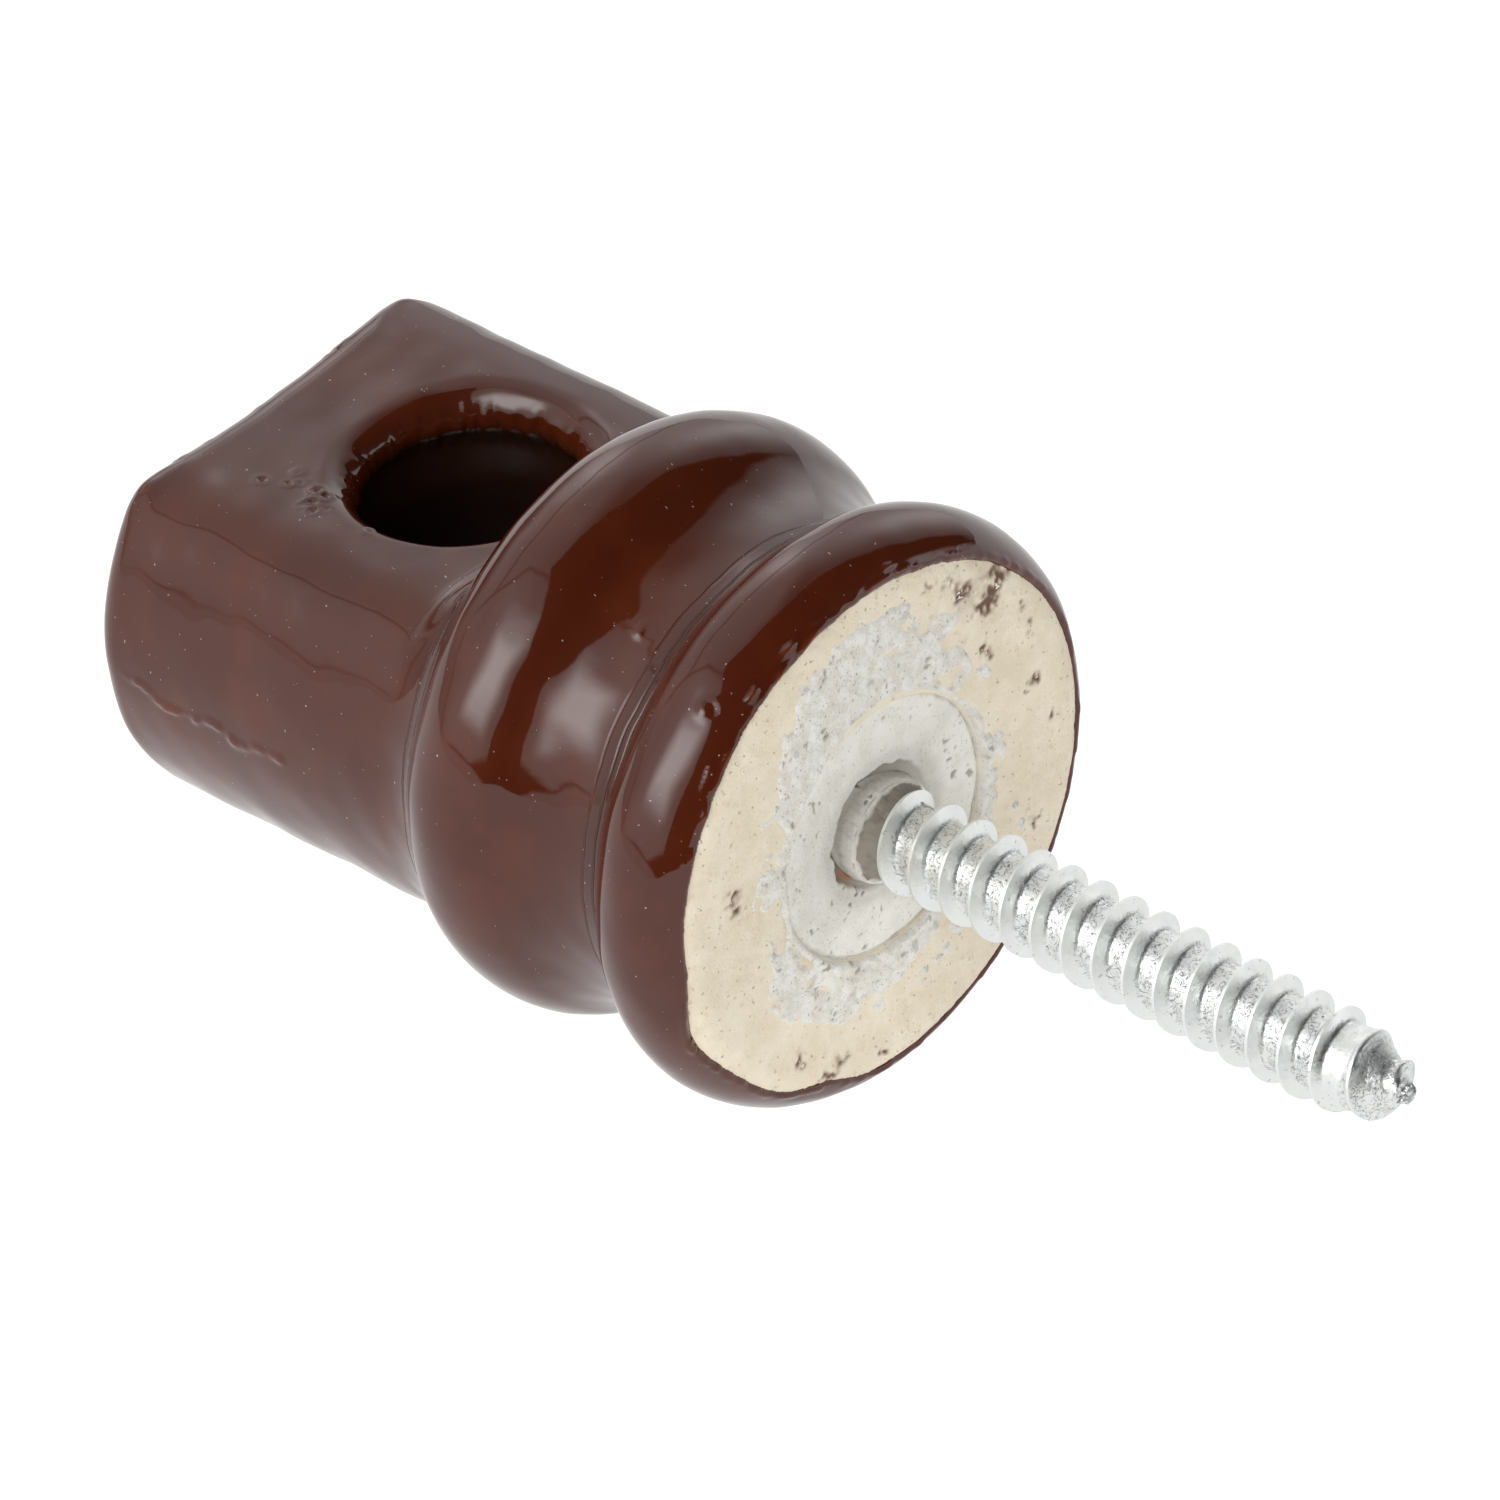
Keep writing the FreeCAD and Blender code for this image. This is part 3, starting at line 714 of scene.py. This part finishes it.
def glaze_sheet(step):
    """The outside of the glaze, ending at the glaze line in a rounded lip."""
    points, quads = sheet(glazed_field, low_corner, high_corner, step)
    points = evened(points, quads, glazed_field)
    points, quads = trimmed(points, quads, line_ahead(points) > 0)
    rim = rim_loop(quads)
    edge = points[rim]
    for _ in range(8):
        edge = settle(settle(edge, line_ahead, 1), glazed_field, 1)
    points[rim] = edge
    ahead = np.clip(line_ahead(points) / 0.9, 0, 1)
    drop = (GLAZE + 0.03) * (1 - np.sqrt(1 - (1 - ahead) ** 2))
    height = (swelling(points) + rim_beads(points)) * ahead
    points = points + normals(points, glazed_field) * (height - drop)[:, None]
    return points, quads, rim, height


def build_glaze(clay_points, clay_quads, step=0.34):
    """The glaze coat: its outside, the buried face against the clay, and the edge between."""
    outer, quads, rim, height = glaze_sheet(step)
    shift = len(outer)
    points = np.concatenate([outer, clay_points])
    inner = clay_quads[:, ::-1] + shift
    seam = zipped(points, rim, [n + shift for n in rim_loop(clay_quads)])
    faces = [quads, inner, seam]
    thin = np.zeros(len(points))
    thin[:shift] = ramp(height, 0.1, 0.4) * 0.8 + 0.5 * ramp(-line_ahead(outer), -1.2, 0)
    in_bore = wire_hole(points)[0] > -0.7
    # Painted shade: this mark darkens the glaze inside the wire hole.
    bore = in_bore * ramp(abs(points[:, 2]), LIP_START + 2.0, LIP_START + 0.5)
    piece = make_piece("glaze_coat_visual", points, faces, brown_glaze(), thin=thin, bore=bore)
    attach(piece, "glaze_coat")


STAINS = (
    # Place across the face (y, z) and size of each brown stain.
    (16.8, 16.9, 1.5), (17.9, 17.4, 0.9), (15.2, 15.8, 1.2), (12.6, 18.6, 1.0),
    (19.4, 12.6, 0.6), (14.8, 10.6, 0.8), (20.4, 3.9, 0.5), (19.4, 3.3, 0.4),
    (-19.5, 5.1, 0.7), (-19.1, 3.8, 0.6), (-10.1, -21.5, 0.7), (-8.9, -20.9, 0.6),
    (-11.4, -22.2, 0.7), (-13.9, -17.6, 0.6), (-3.8, -23.6, 0.4), (8.9, 22.0, 0.5),
    (11.5, 20.6, 0.7), (20.6, 9.8, 0.4), (22.0, -1.2, 0.4), (18.2, -11.5, 0.4),
)


def stain_map(points):
    """Brown stains on the bare clay, from 0 to 1."""
    still = np.zeros(len(points))
    wobble = np.stack([still, 0.7 * grain(points, 0.8, 71), 0.7 * grain(points, 0.8, 72)], axis=1)
    stain = still
    for *place, width in STAINS:
        stain = stain + blob(points + wobble, np.array([0.0, *place]), width)
    tinge = 0.30 * blob(points, np.array([0.0, 14.5, 17.3]), 3.6)
    tinge = tinge * np.clip(0.5 + grain(points, 0.9, 74), 0, 1)
    return np.clip(1.5 * stain * (0.55 + 0.9 * grain(points, 0.45, 73)) + tinge, 0, 1)


def ring(x, radius, angles):
    """Points round the body's axis, one for each angle."""
    flat = [np.broadcast_to(value, angles.shape) for value in (x, radius)]
    return np.stack([flat[0], flat[1] * np.cos(angles), flat[1] * np.sin(angles)], axis=-1)


def ring_quads(rows, around, first=0):
    """Faces between neighbouring rings of points, facing out for rings that run towards -X."""
    number = first + np.arange(rows * around).reshape(rows, around)
    ahead = np.roll(number, -1, axis=1)
    return np.stack([number[:-1], number[1:], ahead[1:], ahead[:-1]], axis=-1).reshape(-1, 4)


def build_porcelain(clay_points, clay_quads):
    """The fired clay: its bare face, the pocket's wall and the face buried under the glaze."""
    flat_end = RIM_RADIUS - 1.2
    face_reaches = np.arange(POCKET_RADIUS, flat_end, 0.22)
    rim_reaches = np.arange(flat_end, BEAD_RADIUS, 0.18)
    reaches = np.concatenate([face_reaches, rim_reaches])
    angles = np.linspace(0, TURN, 640, endpoint=False)
    over = 0.6 * np.maximum(reaches - flat_end, 0)
    start = [ring(-back, reach - back, angles) for back, reach in zip(over, reaches)]
    face = settle(np.concatenate(start), clay_field, 4)
    stain = stain_map(face)
    inward = ramp(np.hypot(face[:, 1], face[:, 2]), POCKET_RADIUS + 1.2, POCKET_RADIUS)
    relief = 0.04 * cloud(face, 0.8, 81) - 0.4 * inward - 0.12 * stain
    face = face + normals(face, clay_field) * relief[:, None]
    hidden = [ring(cement_low[0], radius, angles) for radius in (AXIS_RADIUS, POCKET_RADIUS)]
    points = np.concatenate([*hidden, face])
    shift = len(points)
    rows = len(reaches) + len(hidden)
    last = shift - len(angles) + np.arange(len(angles))
    points = np.concatenate([points, clay_points])
    seam = zipped(points, [n + shift for n in rim_loop(clay_quads)], last.tolist())
    faces = [ring_quads(rows, len(angles)), clay_quads + shift, seam]
    marks = np.zeros(len(points))
    marks[len(hidden) * len(angles):shift] = stain
    piece = make_piece("porcelain_visual", points, faces, bare_porcelain(), stain=marks)
    attach(piece, "porcelain_body")


# ------------ Cement ------------
def smear_reach(angle):
    """How far out the smeared cement runs, most of it above and to the -Y side of the pocket."""
    reach = 17.2 + 6.8 * facing(angle, 94, 30) + 2.9 * facing(angle, -134, 24)
    reach += 1.8 * facing(angle, 52, 14) + 1.6 * facing(angle, 150, 16)
    return reach - 2.2 * facing(angle, -30, 60)


LUMPS = (
    # Place across the face (y, z) and size of each crumb of cement on the clay.
    (14.0, 9.2, 0.8), (14.6, 8.2, 0.5), (16.0, -8.2, 0.6), (16.5, -10.6, 0.7),
    (7.2, -16.1, 0.9), (5.3, -17.4, 0.7), (4.0, -17.8, 0.6), (2.2, -18.3, 0.7),
    (2.1, -19.3, 0.5), (-3.4, -17.9, 0.7), (-16.6, -9.5, 0.6), (-16.2, -8.2, 0.5),
    (9.6, -15.2, 0.4), (14.9, -12.8, 0.5),
)


def cement_face(y, z):
    """Height of the cement's face over the base face, and the marks its material goes by."""
    spot = np.stack([0 * y, y, z], axis=1)
    radius = np.hypot(y, z)
    angle = np.arctan2(z, y)
    open_side = facing(angle, 145, 60)
    moat_edge = MOAT_RADIUS + 0.4 * facing(angle, 120, 40) + 0.30 * grain(spot, 1.1, 91)
    moat = ramp(moat_edge - radius, -0.15, 0.35) * (0.30 + 1.8 * open_side)
    groove_edge = POCKET_RADIUS - 0.1 + 1.0 * facing(angle, 97, 30) + 0.12 * grain(spot, 1.6, 92)
    groove = bell(radius, groove_edge, 0.22) * (0.62 - 0.50 * facing(angle, 165, 45))
    groove *= 0.7 + 0.4 * grain(spot, 0.7, 93)
    pits = ramp(grain(spot, 0.42, 94) * grain(spot, 1.9, 95), 0.34, 0.5)
    disc = -0.5 + 0.05 * cloud(spot, 3.0, 96)
    disc += 0.25 * facing(angle, 160, 50) * ramp(radius, 9.0, 12.5)
    disc -= moat + 0.16 * pits

    edge = smear_reach(angle) + 1.3 * grain(spot, 2.7, 97) + 0.8 * grain(spot, 0.9, 98)
    patchy = 0.50 + 0.65 * cloud(spot, 3.6, 99) + 0.45 * facing(angle, 108, 24)
    spread = ramp(edge - radius, 0.0, 1.1) * ramp(patchy, 0.10, 0.45)
    lip = 0.35 * bell(radius, 14.6, 0.7) * facing(angle, -112, 42)
    sandy = 0.10 * cloud(spot, 0.9, 100, 3) + 0.10 * cloud(spot, 3.0, 103, 2)
    skim = 0.14 * ramp(14.3 - radius, 0.0, 0.8) * (0.6 + 0.8 * grain(spot, 2.0, 108))
    smear = -0.14 + 0.36 * spread + sandy * (0.3 + 0.7 * spread) + lip + skim - 0.12 * pits
    smear -= 0.6 * ramp(radius, 23.9, 24.6)
    crumb = 0 * y
    for *place, width in LUMPS:
        crumb = crumb + blob(spot, np.array([0.0, *place]), width)
    crumb = crumb * np.clip(0.7 + 0.7 * grain(spot, 0.6, 104), 0, 1.3)
    smear += 0.42 * crumb
    outside = ramp(radius, groove_edge - 0.05, groove_edge + 0.5)
    height = disc + (smear - disc) * outside - groove
    # Painted shade: darker on the lower side near the screw, and in a ring just outside the moat.
    screw_shade = 0.12 * facing(angle, -150, 60) * ramp(radius, 13.0, 9.0)
    screw_shade += 0.20 * bell(radius, MOAT_RADIUS + 0.6, 1.0)
    shade = 0.75 * np.clip(groove, 0, 1) + 0.6 * pits + 0.75 * ramp(moat, 0.4, 1.4) + screw_shade
    shade += 0.30 * ramp(cloud(spot, 1.4, 106, 3), 0.75, 1.1) * outside
    marks = {
        "shade": np.clip(shade, 0, 1),
        "smear": outside * np.clip(0.35 + 0.65 * spread + crumb, 0, 1),
        "crust": ramp(moat, 0.1, 0.5) * 0.8,
        "rust": ramp(moat_edge - radius, 0.1, 0.8) * facing(angle, -146, 12) * 0.8,
    }
    return height, marks


def build_cement():
    """The cement: the space round the screw's head and shank, a collar of grout, the face, the plug.

    Each outline lists places along the axis with the radius there.
    """
    angles = np.linspace(0, TURN, 560, endpoint=False)
    back = screw_low[0]
    buried = ((back, AXIS_RADIUS), (back, HEX_REACH), (HEX_FRONT, HEX_REACH), (HEX_FRONT, 4.98),
              (0.55, 4.96), (0.55, 3.38))
    cone = ((3.3, 3.3), (3.1, 3.5), (2.8, 3.72), (2.4, 3.86), (2.0, 3.95), (1.6, 4.05),
            (1.3, 4.15), (1.05, 4.3), (0.85, 4.5), (0.74, 4.72), (0.66, 4.9), (0.5, 5.05),
            (0.0, 5.1), (-1.0, 5.14), (-2.2, 5.16))
    rows = [ring(x, radius, angles) for x, radius in buried]
    collar = np.concatenate([ring(x, radius, angles) for x, radius in cone])
    rough = np.repeat([0.4] * 2 + [1.0] * 7 + [0.35] * 6, len(angles))
    collar[:, 0] += 0.13 * rough * cloud(collar, 0.8, 101, 3)
    widen = 1 + 0.06 * rough * cloud(collar, 0.9, 105, 3)
    collar[:, 1:] *= widen[:, None]
    radii = np.concatenate([np.arange(5.2, 13.6, 0.16), np.arange(13.6, 25.2, 0.22)])
    face = np.concatenate([ring(0.0, radius, angles) for radius in radii])
    face[:, 0], face_marks = cement_face(face[:, 1], face[:, 2])
    plug_radius = POCKET_RADIUS - 0.05
    under = ((-0.7, 25.2), (-0.7, plug_radius), (cement_low[0], plug_radius),
             (cement_low[0], AXIS_RADIUS))
    closing = [ring(x, radius, angles) for x, radius in under]
    points = np.concatenate([*rows, collar, face, *closing])
    total = len(points)
    first = len(rows) * len(angles)
    marks = {name: np.zeros(total) for name in face_marks}
    start = first + len(collar)
    for name, values in face_marks.items():
        marks[name][start:start + len(face)] = values
    marks["crust"][first:start] = rough
    marks["shade"][first:start] = 0.5 * rough * ramp(cloud(collar, 0.8, 107, 2), 0.1, 0.9)
    faces = ring_quads(total // len(angles), len(angles))[:, ::-1]
    piece = make_piece("cement_visual", points, [faces], grey_cement(), **marks)
    attach(piece, "cement_plug")


# ------------ Lag screw ------------
def thread_shape(x, angle):
    """Radius of the threaded part at a place along the axis and an angle round it."""
    turn = (x - FIRST_CREST) / PITCH - angle / TURN
    off = abs(turn - np.round(turn)) * PITCH
    flank = np.clip(1 - (off - 0.15) / 0.85, 0, 1) ** 1.7
    root = ROOT_RADIUS + 0.35 * ramp(x, 51.5, 55.5)
    left = np.clip((CONE_START + CONE_LENGTH - x) / CONE_LENGTH, 0, 1)
    cone = TIP_RADIUS + (root - TIP_RADIUS) * left**0.85
    crest = THREAD_RADIUS - 1.0 * ramp(x, 53.0, 58.5) - 2.2 * ramp(x, 58.8, 61.2)
    grown = ramp(x, 0.6, 2.6)
    return cone + np.maximum(crest - cone, 0) * flank * grown


def build_screw():
    """The lag screw: a strip wound along the thread, the buried head and shank, and a torn nib."""
    around = 96
    ahead = np.array([0.15, 0.28, 0.42, 0.6, 0.8, 1.0, 1.2, 1.5])
    offsets = np.concatenate([[-PITCH / 2], -ahead[::-1], [0], ahead])
    finish = CONE_START + CONE_LENGTH - 0.2
    turns = math.ceil((finish - SHOULDER) / PITCH) + 2
    steps = np.arange(-around, turns * around)
    angle = TURN * steps / around
    x = FIRST_CREST + PITCH * angle[:, None] / TURN + offsets
    x = np.clip(x, SHOULDER, finish)
    keys = np.stack([np.repeat(steps % around, len(offsets)), np.round(x.ravel() * 1e4)], axis=1)
    _, chosen, number = np.unique(keys, axis=0, return_index=True, return_inverse=True)
    number = number.reshape(x.shape)
    x = x.ravel()[chosen]
    angle = np.repeat(angle, len(offsets))[chosen] % TURN
    points = ring(x, thread_shape(x, angle), angle)
    wrapped = np.concatenate([number[:-around], number[around:, :1]], axis=1)
    sides = [wrapped[:-1, :-1], wrapped[1:, :-1], wrapped[1:, 1:], wrapped[:-1, 1:]]
    quads = np.stack(sides, axis=-1).reshape(-1, 4)
    same = quads == np.roll(quads, -1, axis=1)
    whole = quads[~same.any(axis=1)]
    pinched = quads[same.sum(axis=1) == 1]
    kept = ~same[same.sum(axis=1) == 1]
    triangles = pinched[kept].reshape(-1, 3)

    angles = TURN * np.arange(around) / around
    flats = HEX_HALF_FLATS / np.cos((angles % (TURN / 6)) - TURN / 12)
    outline = ((screw_low[0], AXIS_RADIUS), (screw_low[0], flats), (HEX_FRONT, flats),
               (HEX_FRONT, SHANK_RADIUS), (SHOULDER, SHANK_RADIUS))
    head = [ring(place, radius, angles) for place, radius in outline]
    random = np.random.default_rng(111)
    nib = []
    for beyond, radius in ((0.12, 0.9), (0.3, 0.78), (0.5, 0.85), (0.66, 0.6)):
        torn = finish + beyond + random.uniform(-0.06, 0.06, around)
        nib.append(ring(torn, radius * random.uniform(0.8, 1.15, around), angles))
    nib.append(ring(finish + 0.62, AXIS_RADIUS, angles))
    first_head = len(points)
    first_nib = first_head + len(head) * around
    at_start = np.flatnonzero(x < SHOULDER + 1e-6)
    at_end = np.flatnonzero(x > finish - 1e-6)
    at_start = at_start[np.argsort(angle[at_start])]
    at_end = at_end[np.argsort(angle[at_end])]

    def between(lower, upper):
        return np.stack([lower, upper, np.roll(upper, -1), np.roll(lower, -1)], axis=1)

    head_faces = ring_quads(len(head), around, first_head)[:, ::-1]
    nib_faces = ring_quads(len(nib), around, first_nib)[:, ::-1]
    last_head = first_head + (len(head) - 1) * around + np.arange(around)
    nib_start = first_nib + np.arange(around)
    joins = np.concatenate([between(last_head, at_start), between(at_end, nib_start)])[:, ::-1]
    points = np.concatenate([points, *head, *nib])
    radius = np.hypot(points[:, 1], points[:, 2])
    root = ramp(ROOT_RADIUS + 0.35 - radius, 0, 0.25)
    faces = [whole, triangles, head_faces, nib_faces, joins]
    piece = make_piece("lag_screw_visual", points, faces, zinc_plate(), math.radians(50), root=root)
    attach(piece, "lag_screw")


clay_points, clay_quads = clay_sheet()
build_glaze(clay_points, clay_quads)
build_porcelain(clay_points, clay_quads)
build_cement()
build_screw()


# ------------ Studio ------------
# The camera's direction from the origin, in degrees and metres, as fitted to the photo.
VIEW_AZIMUTH, VIEW_ELEVATION, VIEW_ROLL = 47.02, 39.15, -7.22
VIEW_DISTANCE = 1.4006
VIEW_LENS = 378.1
AIM = Vector((-0.0115, -0.0045, 0.0066))

FILL_PLACE = Vector((0.85, -0.45, 0.40))
FILL_SIZE, FILL_POWER = 0.9, 3.7

FLOOR_SIZE, FLOOR_GAP = 6.0, 0.0001


def view_axes():
    """Right, up and back of a view that looks straight at the origin."""
    azimuth, elevation, roll = (math.radians(a) for a in (VIEW_AZIMUTH, VIEW_ELEVATION, VIEW_ROLL))
    back = Vector((
        math.sin(azimuth) * math.cos(elevation),
        -math.cos(azimuth) * math.cos(elevation),
        math.sin(elevation),
    ))
    level = Vector((math.cos(azimuth), math.sin(azimuth), 0))
    right = level * math.cos(roll) + back.cross(level) * math.sin(roll)
    return right, back.cross(right), back


def add_camera():
    right, up, back = view_axes()
    place = back * VIEW_DISTANCE
    away = (place - AIM).normalized()
    side = (right - away * right.dot(away)).normalized()
    above = away.cross(side)
    data = bpy.data.cameras.new("camera")
    data.lens = VIEW_LENS
    data.sensor_width = 36.0
    data.clip_end = 20.0
    camera = bpy.data.objects.new("camera", data)
    turn = Matrix((side, above, away)).transposed().to_4x4()
    camera.matrix_world = Matrix.Translation(place) @ turn
    bpy.context.scene.collection.objects.link(camera)
    bpy.context.scene.camera = camera


def studio_light():
    """White studio: a softbox left of the camera, dark round the camera, bright all about.

    Places in it are degrees away from the camera's direction, x to the right and y up.
    """
    world = bpy.data.worlds.new("studio")
    world.use_nodes = True
    bpy.context.scene.world = world
    nodes = Nodes(world.node_tree)
    way = nodes.add("TexCoord", output="Generated")
    across, up, back = [
        nodes.add("VectorMath", {0: way, 1: tuple(axis)}, "Value", operation="DOT_PRODUCT")
        for axis in view_axes()
    ]
    polar = nodes.times(nodes.math("ARCCOSINE", back), 180 / math.pi)
    flat = nodes.math("SQRT", nodes.total(nodes.times(across, across), nodes.times(up, up), 1e-8))
    x = nodes.times(nodes.math("DIVIDE", across, flat), polar)
    y = nodes.times(nodes.math("DIVIDE", up, flat), polar)

    def over(slope, height):
        """Degrees above a slanting line across the view."""
        return nodes.total(y, nodes.times(x, -slope), -height)

    def line(value, width, strength, *limits):
        """A factor that darkens a thin line where a value is nought."""
        shadow = nodes.times(nodes.hill(value, 0.0, width), strength, *limits)
        return nodes.math("SUBTRACT", 1.0, shadow)

    # White walls and ceiling, with bright patches overhead and dimmer corners.
    wall = nodes.rise(x, -55.0, -8.0, 0.86, 0.58)
    ceiling = nodes.rise(y, 45.0, 70.0)
    room = nodes.add("Mix", {0: ceiling, 2: wall, 3: 0.84}, 0, data_type="FLOAT")
    overhead = nodes.times(nodes.hill(x, 42.0, 34.0), nodes.hill(y, 112.0, 15.0), 0.75)
    rear = nodes.times(nodes.hill(x, -38.0, 18.0), nodes.hill(y, 108.0, 14.0), 1.2)
    upper_left = nodes.total(nodes.times(x, -0.8), nodes.times(y, 0.6))
    corner = nodes.rise(upper_left, 113.0, 130.0, 1.0, 0.22)
    left_end = nodes.rise(x, -112.0, -80.0, 0.5, 1.0)
    low_part = nodes.rise(y, -10.0, -45.0)
    left_end = nodes.math("MAXIMUM", left_end, low_part)
    far_above = nodes.rise(y, 118.0, 150.0, 1.0, 0.65)
    behind = nodes.rise(x, -170.0, -130.0, 0.3, 1.0)
    below = nodes.rise(y, -150.0, -105.0, 0.4, 1.0)
    right_side = nodes.times(nodes.rise(x, 40.0, 72.0), nodes.rise(y, 62.0, 28.0), 6.8)
    right_side = nodes.total(1.0, right_side)
    low_ceiling = nodes.times(nodes.rise(x, -16.0, 6.0), nodes.rise(y, 104.0, 66.0), -0.68)
    low_ceiling = nodes.total(1.0, low_ceiling)
    room = nodes.times(room, corner, left_end, far_above, behind, below, right_side, low_ceiling)

    # Softbox: a bright square, tilted, with a dimmer surround inside a thin dark frame.
    tilt = math.radians(-27)
    east, north = nodes.total(x, 42.0), nodes.total(y, -7.0)
    along = nodes.total(nodes.times(east, math.cos(tilt)), nodes.times(north, math.sin(tilt)))
    aside = nodes.total(nodes.times(east, -math.sin(tilt)), nodes.times(north, math.cos(tilt)))
    powers = [
        nodes.math("POWER", nodes.math("ABSOLUTE", nodes.times(value, 1 / half)), 6.0)
        for value, half in ((along, 25.0), (aside, 22.5))
    ]
    spread = nodes.math("POWER", nodes.total(*powers), 1 / 6)
    screen = nodes.times(nodes.rise(spread, 1.14, 0.25), 4.0)
    halo = nodes.times(nodes.rise(spread, 1.9, 1.0), 0.30)

    frame_low = over(-0.52, -54.0)
    past_middle = nodes.math("MAXIMUM", nodes.total(x, 45.0), 0.0)
    frame_top = nodes.total(y, nodes.times(past_middle, 0.55), -50.0)
    beside_camera = nodes.rise(x, -12.0, -15.0)
    lines = (
        line(frame_low, 1.2, 0.65, nodes.rise(x, -96.0, -66.0)),
        line(frame_top, 1.5, 0.50, beside_camera, nodes.rise(x, -100.0, -80.0)),
        line(nodes.total(x, 96.0), 1.6, 0.35, nodes.rise(y, -10.0, 0.0), nodes.rise(y, 50.0, 40.0)),
        line(nodes.total(upper_left, -91.0), 1.7, 0.55, nodes.rise(y, 48.0, 56.0)),
    )

    # Dark room behind the camera, seen to the right of the softbox and under it.
    hollow = nodes.total(y, -8.0)
    edge = nodes.total(x, 13.0, nodes.times(hollow, hollow, 0.0078))
    right_of_box = nodes.rise(edge, -1.2, 1.2)
    under_top = nodes.times(nodes.rise(over(0.62, 55.5), 1.5, -1.5), nodes.rise(y, 77.0, 72.0))
    right_end = nodes.rise(nodes.total(x, nodes.times(y, -0.6)), 62.0, 52.0)
    zone = nodes.times(right_of_box, under_top, right_end)
    wedge = nodes.rise(y, -27.0, -31.0)
    above_frame = nodes.rise(frame_low, -1.0, 1.0)
    on_left = nodes.rise(x, 20.0, 0.0)
    dark = nodes.times(nodes.math("MAXIMUM", zone, nodes.times(wedge, on_left)), above_frame)
    lit = nodes.times(nodes.total(room, screen, halo, overhead, rear), *lines)
    light = nodes.times(lit, nodes.math("SUBTRACT", 1.0, nodes.times(dark, 0.94)))
    background = nodes.add("Background", {"Color": colour(1, 1, 1), "Strength": light})
    nodes.add("OutputWorld", {"Surface": background})


def fill_light():
    """A wide soft light in front of the bare base, which isn't mirrored in the glaze."""
    lamp = bpy.data.lights.new("fill", "AREA")
    lamp.shape = "DISK"
    lamp.size = FILL_SIZE
    lamp.energy = FILL_POWER
    fill = bpy.data.objects.new("fill", lamp)
    turn = FILL_PLACE.to_track_quat("Z", "Y").to_matrix().to_4x4()
    fill.matrix_world = Matrix.Translation(FILL_PLACE) @ turn
    fill.visible_glossy = False
    bpy.context.scene.collection.objects.link(fill)


def pale_floor():
    """White floor with a glow of its own, fainter to other surfaces, and a painted shadow under the
    head where the glow is dimmed.
    """
    half = FLOOR_SIZE / 2
    mesh = bpy.data.meshes.new("floor")
    height = glaze_low[2] * MM - FLOOR_GAP
    around = ((-half, -half), (half, -half), (half, half), (-half, half))
    mesh.from_pydata([(x, y, height) for x, y in around], [], [(0, 1, 2, 3)])
    material, nodes = new_material("floor_paint")
    spot = nodes.place()
    darker, paler = colour(0.11, 0.11, 0.11), colour(0.13, 0.13, 0.13)
    tone = nodes.mixed(nodes.noise(spot, 400.0, 3.0), darker, paler)
    # Painted shadow: a soft patch under the head where the glow is dimmed, which keeps the glow out
    # of the wire hole.
    along = nodes.hill(nodes.axis(spot, 0), -50.0, 34.0)
    aside = nodes.hill(nodes.axis(spot, 1), 10.0, 11.0)
    seen = nodes.add("LightPath", output="Is Camera Ray")
    glow = nodes.total(0.82, nodes.times(seen, 0.26), nodes.times(along, aside, -0.8))
    white = colour(1, 1, 1)
    nodes.surface(Base_Color=tone, Roughness=0.9, Emission_Color=white, Emission_Strength=glow)
    mesh.materials.append(material)
    floor = bpy.data.objects.new("floor", mesh)
    bpy.context.scene.collection.objects.link(floor)


add_camera()
studio_light()
fill_light()
pale_floor()
bpy.context.scene.view_settings.view_transform = "Standard"
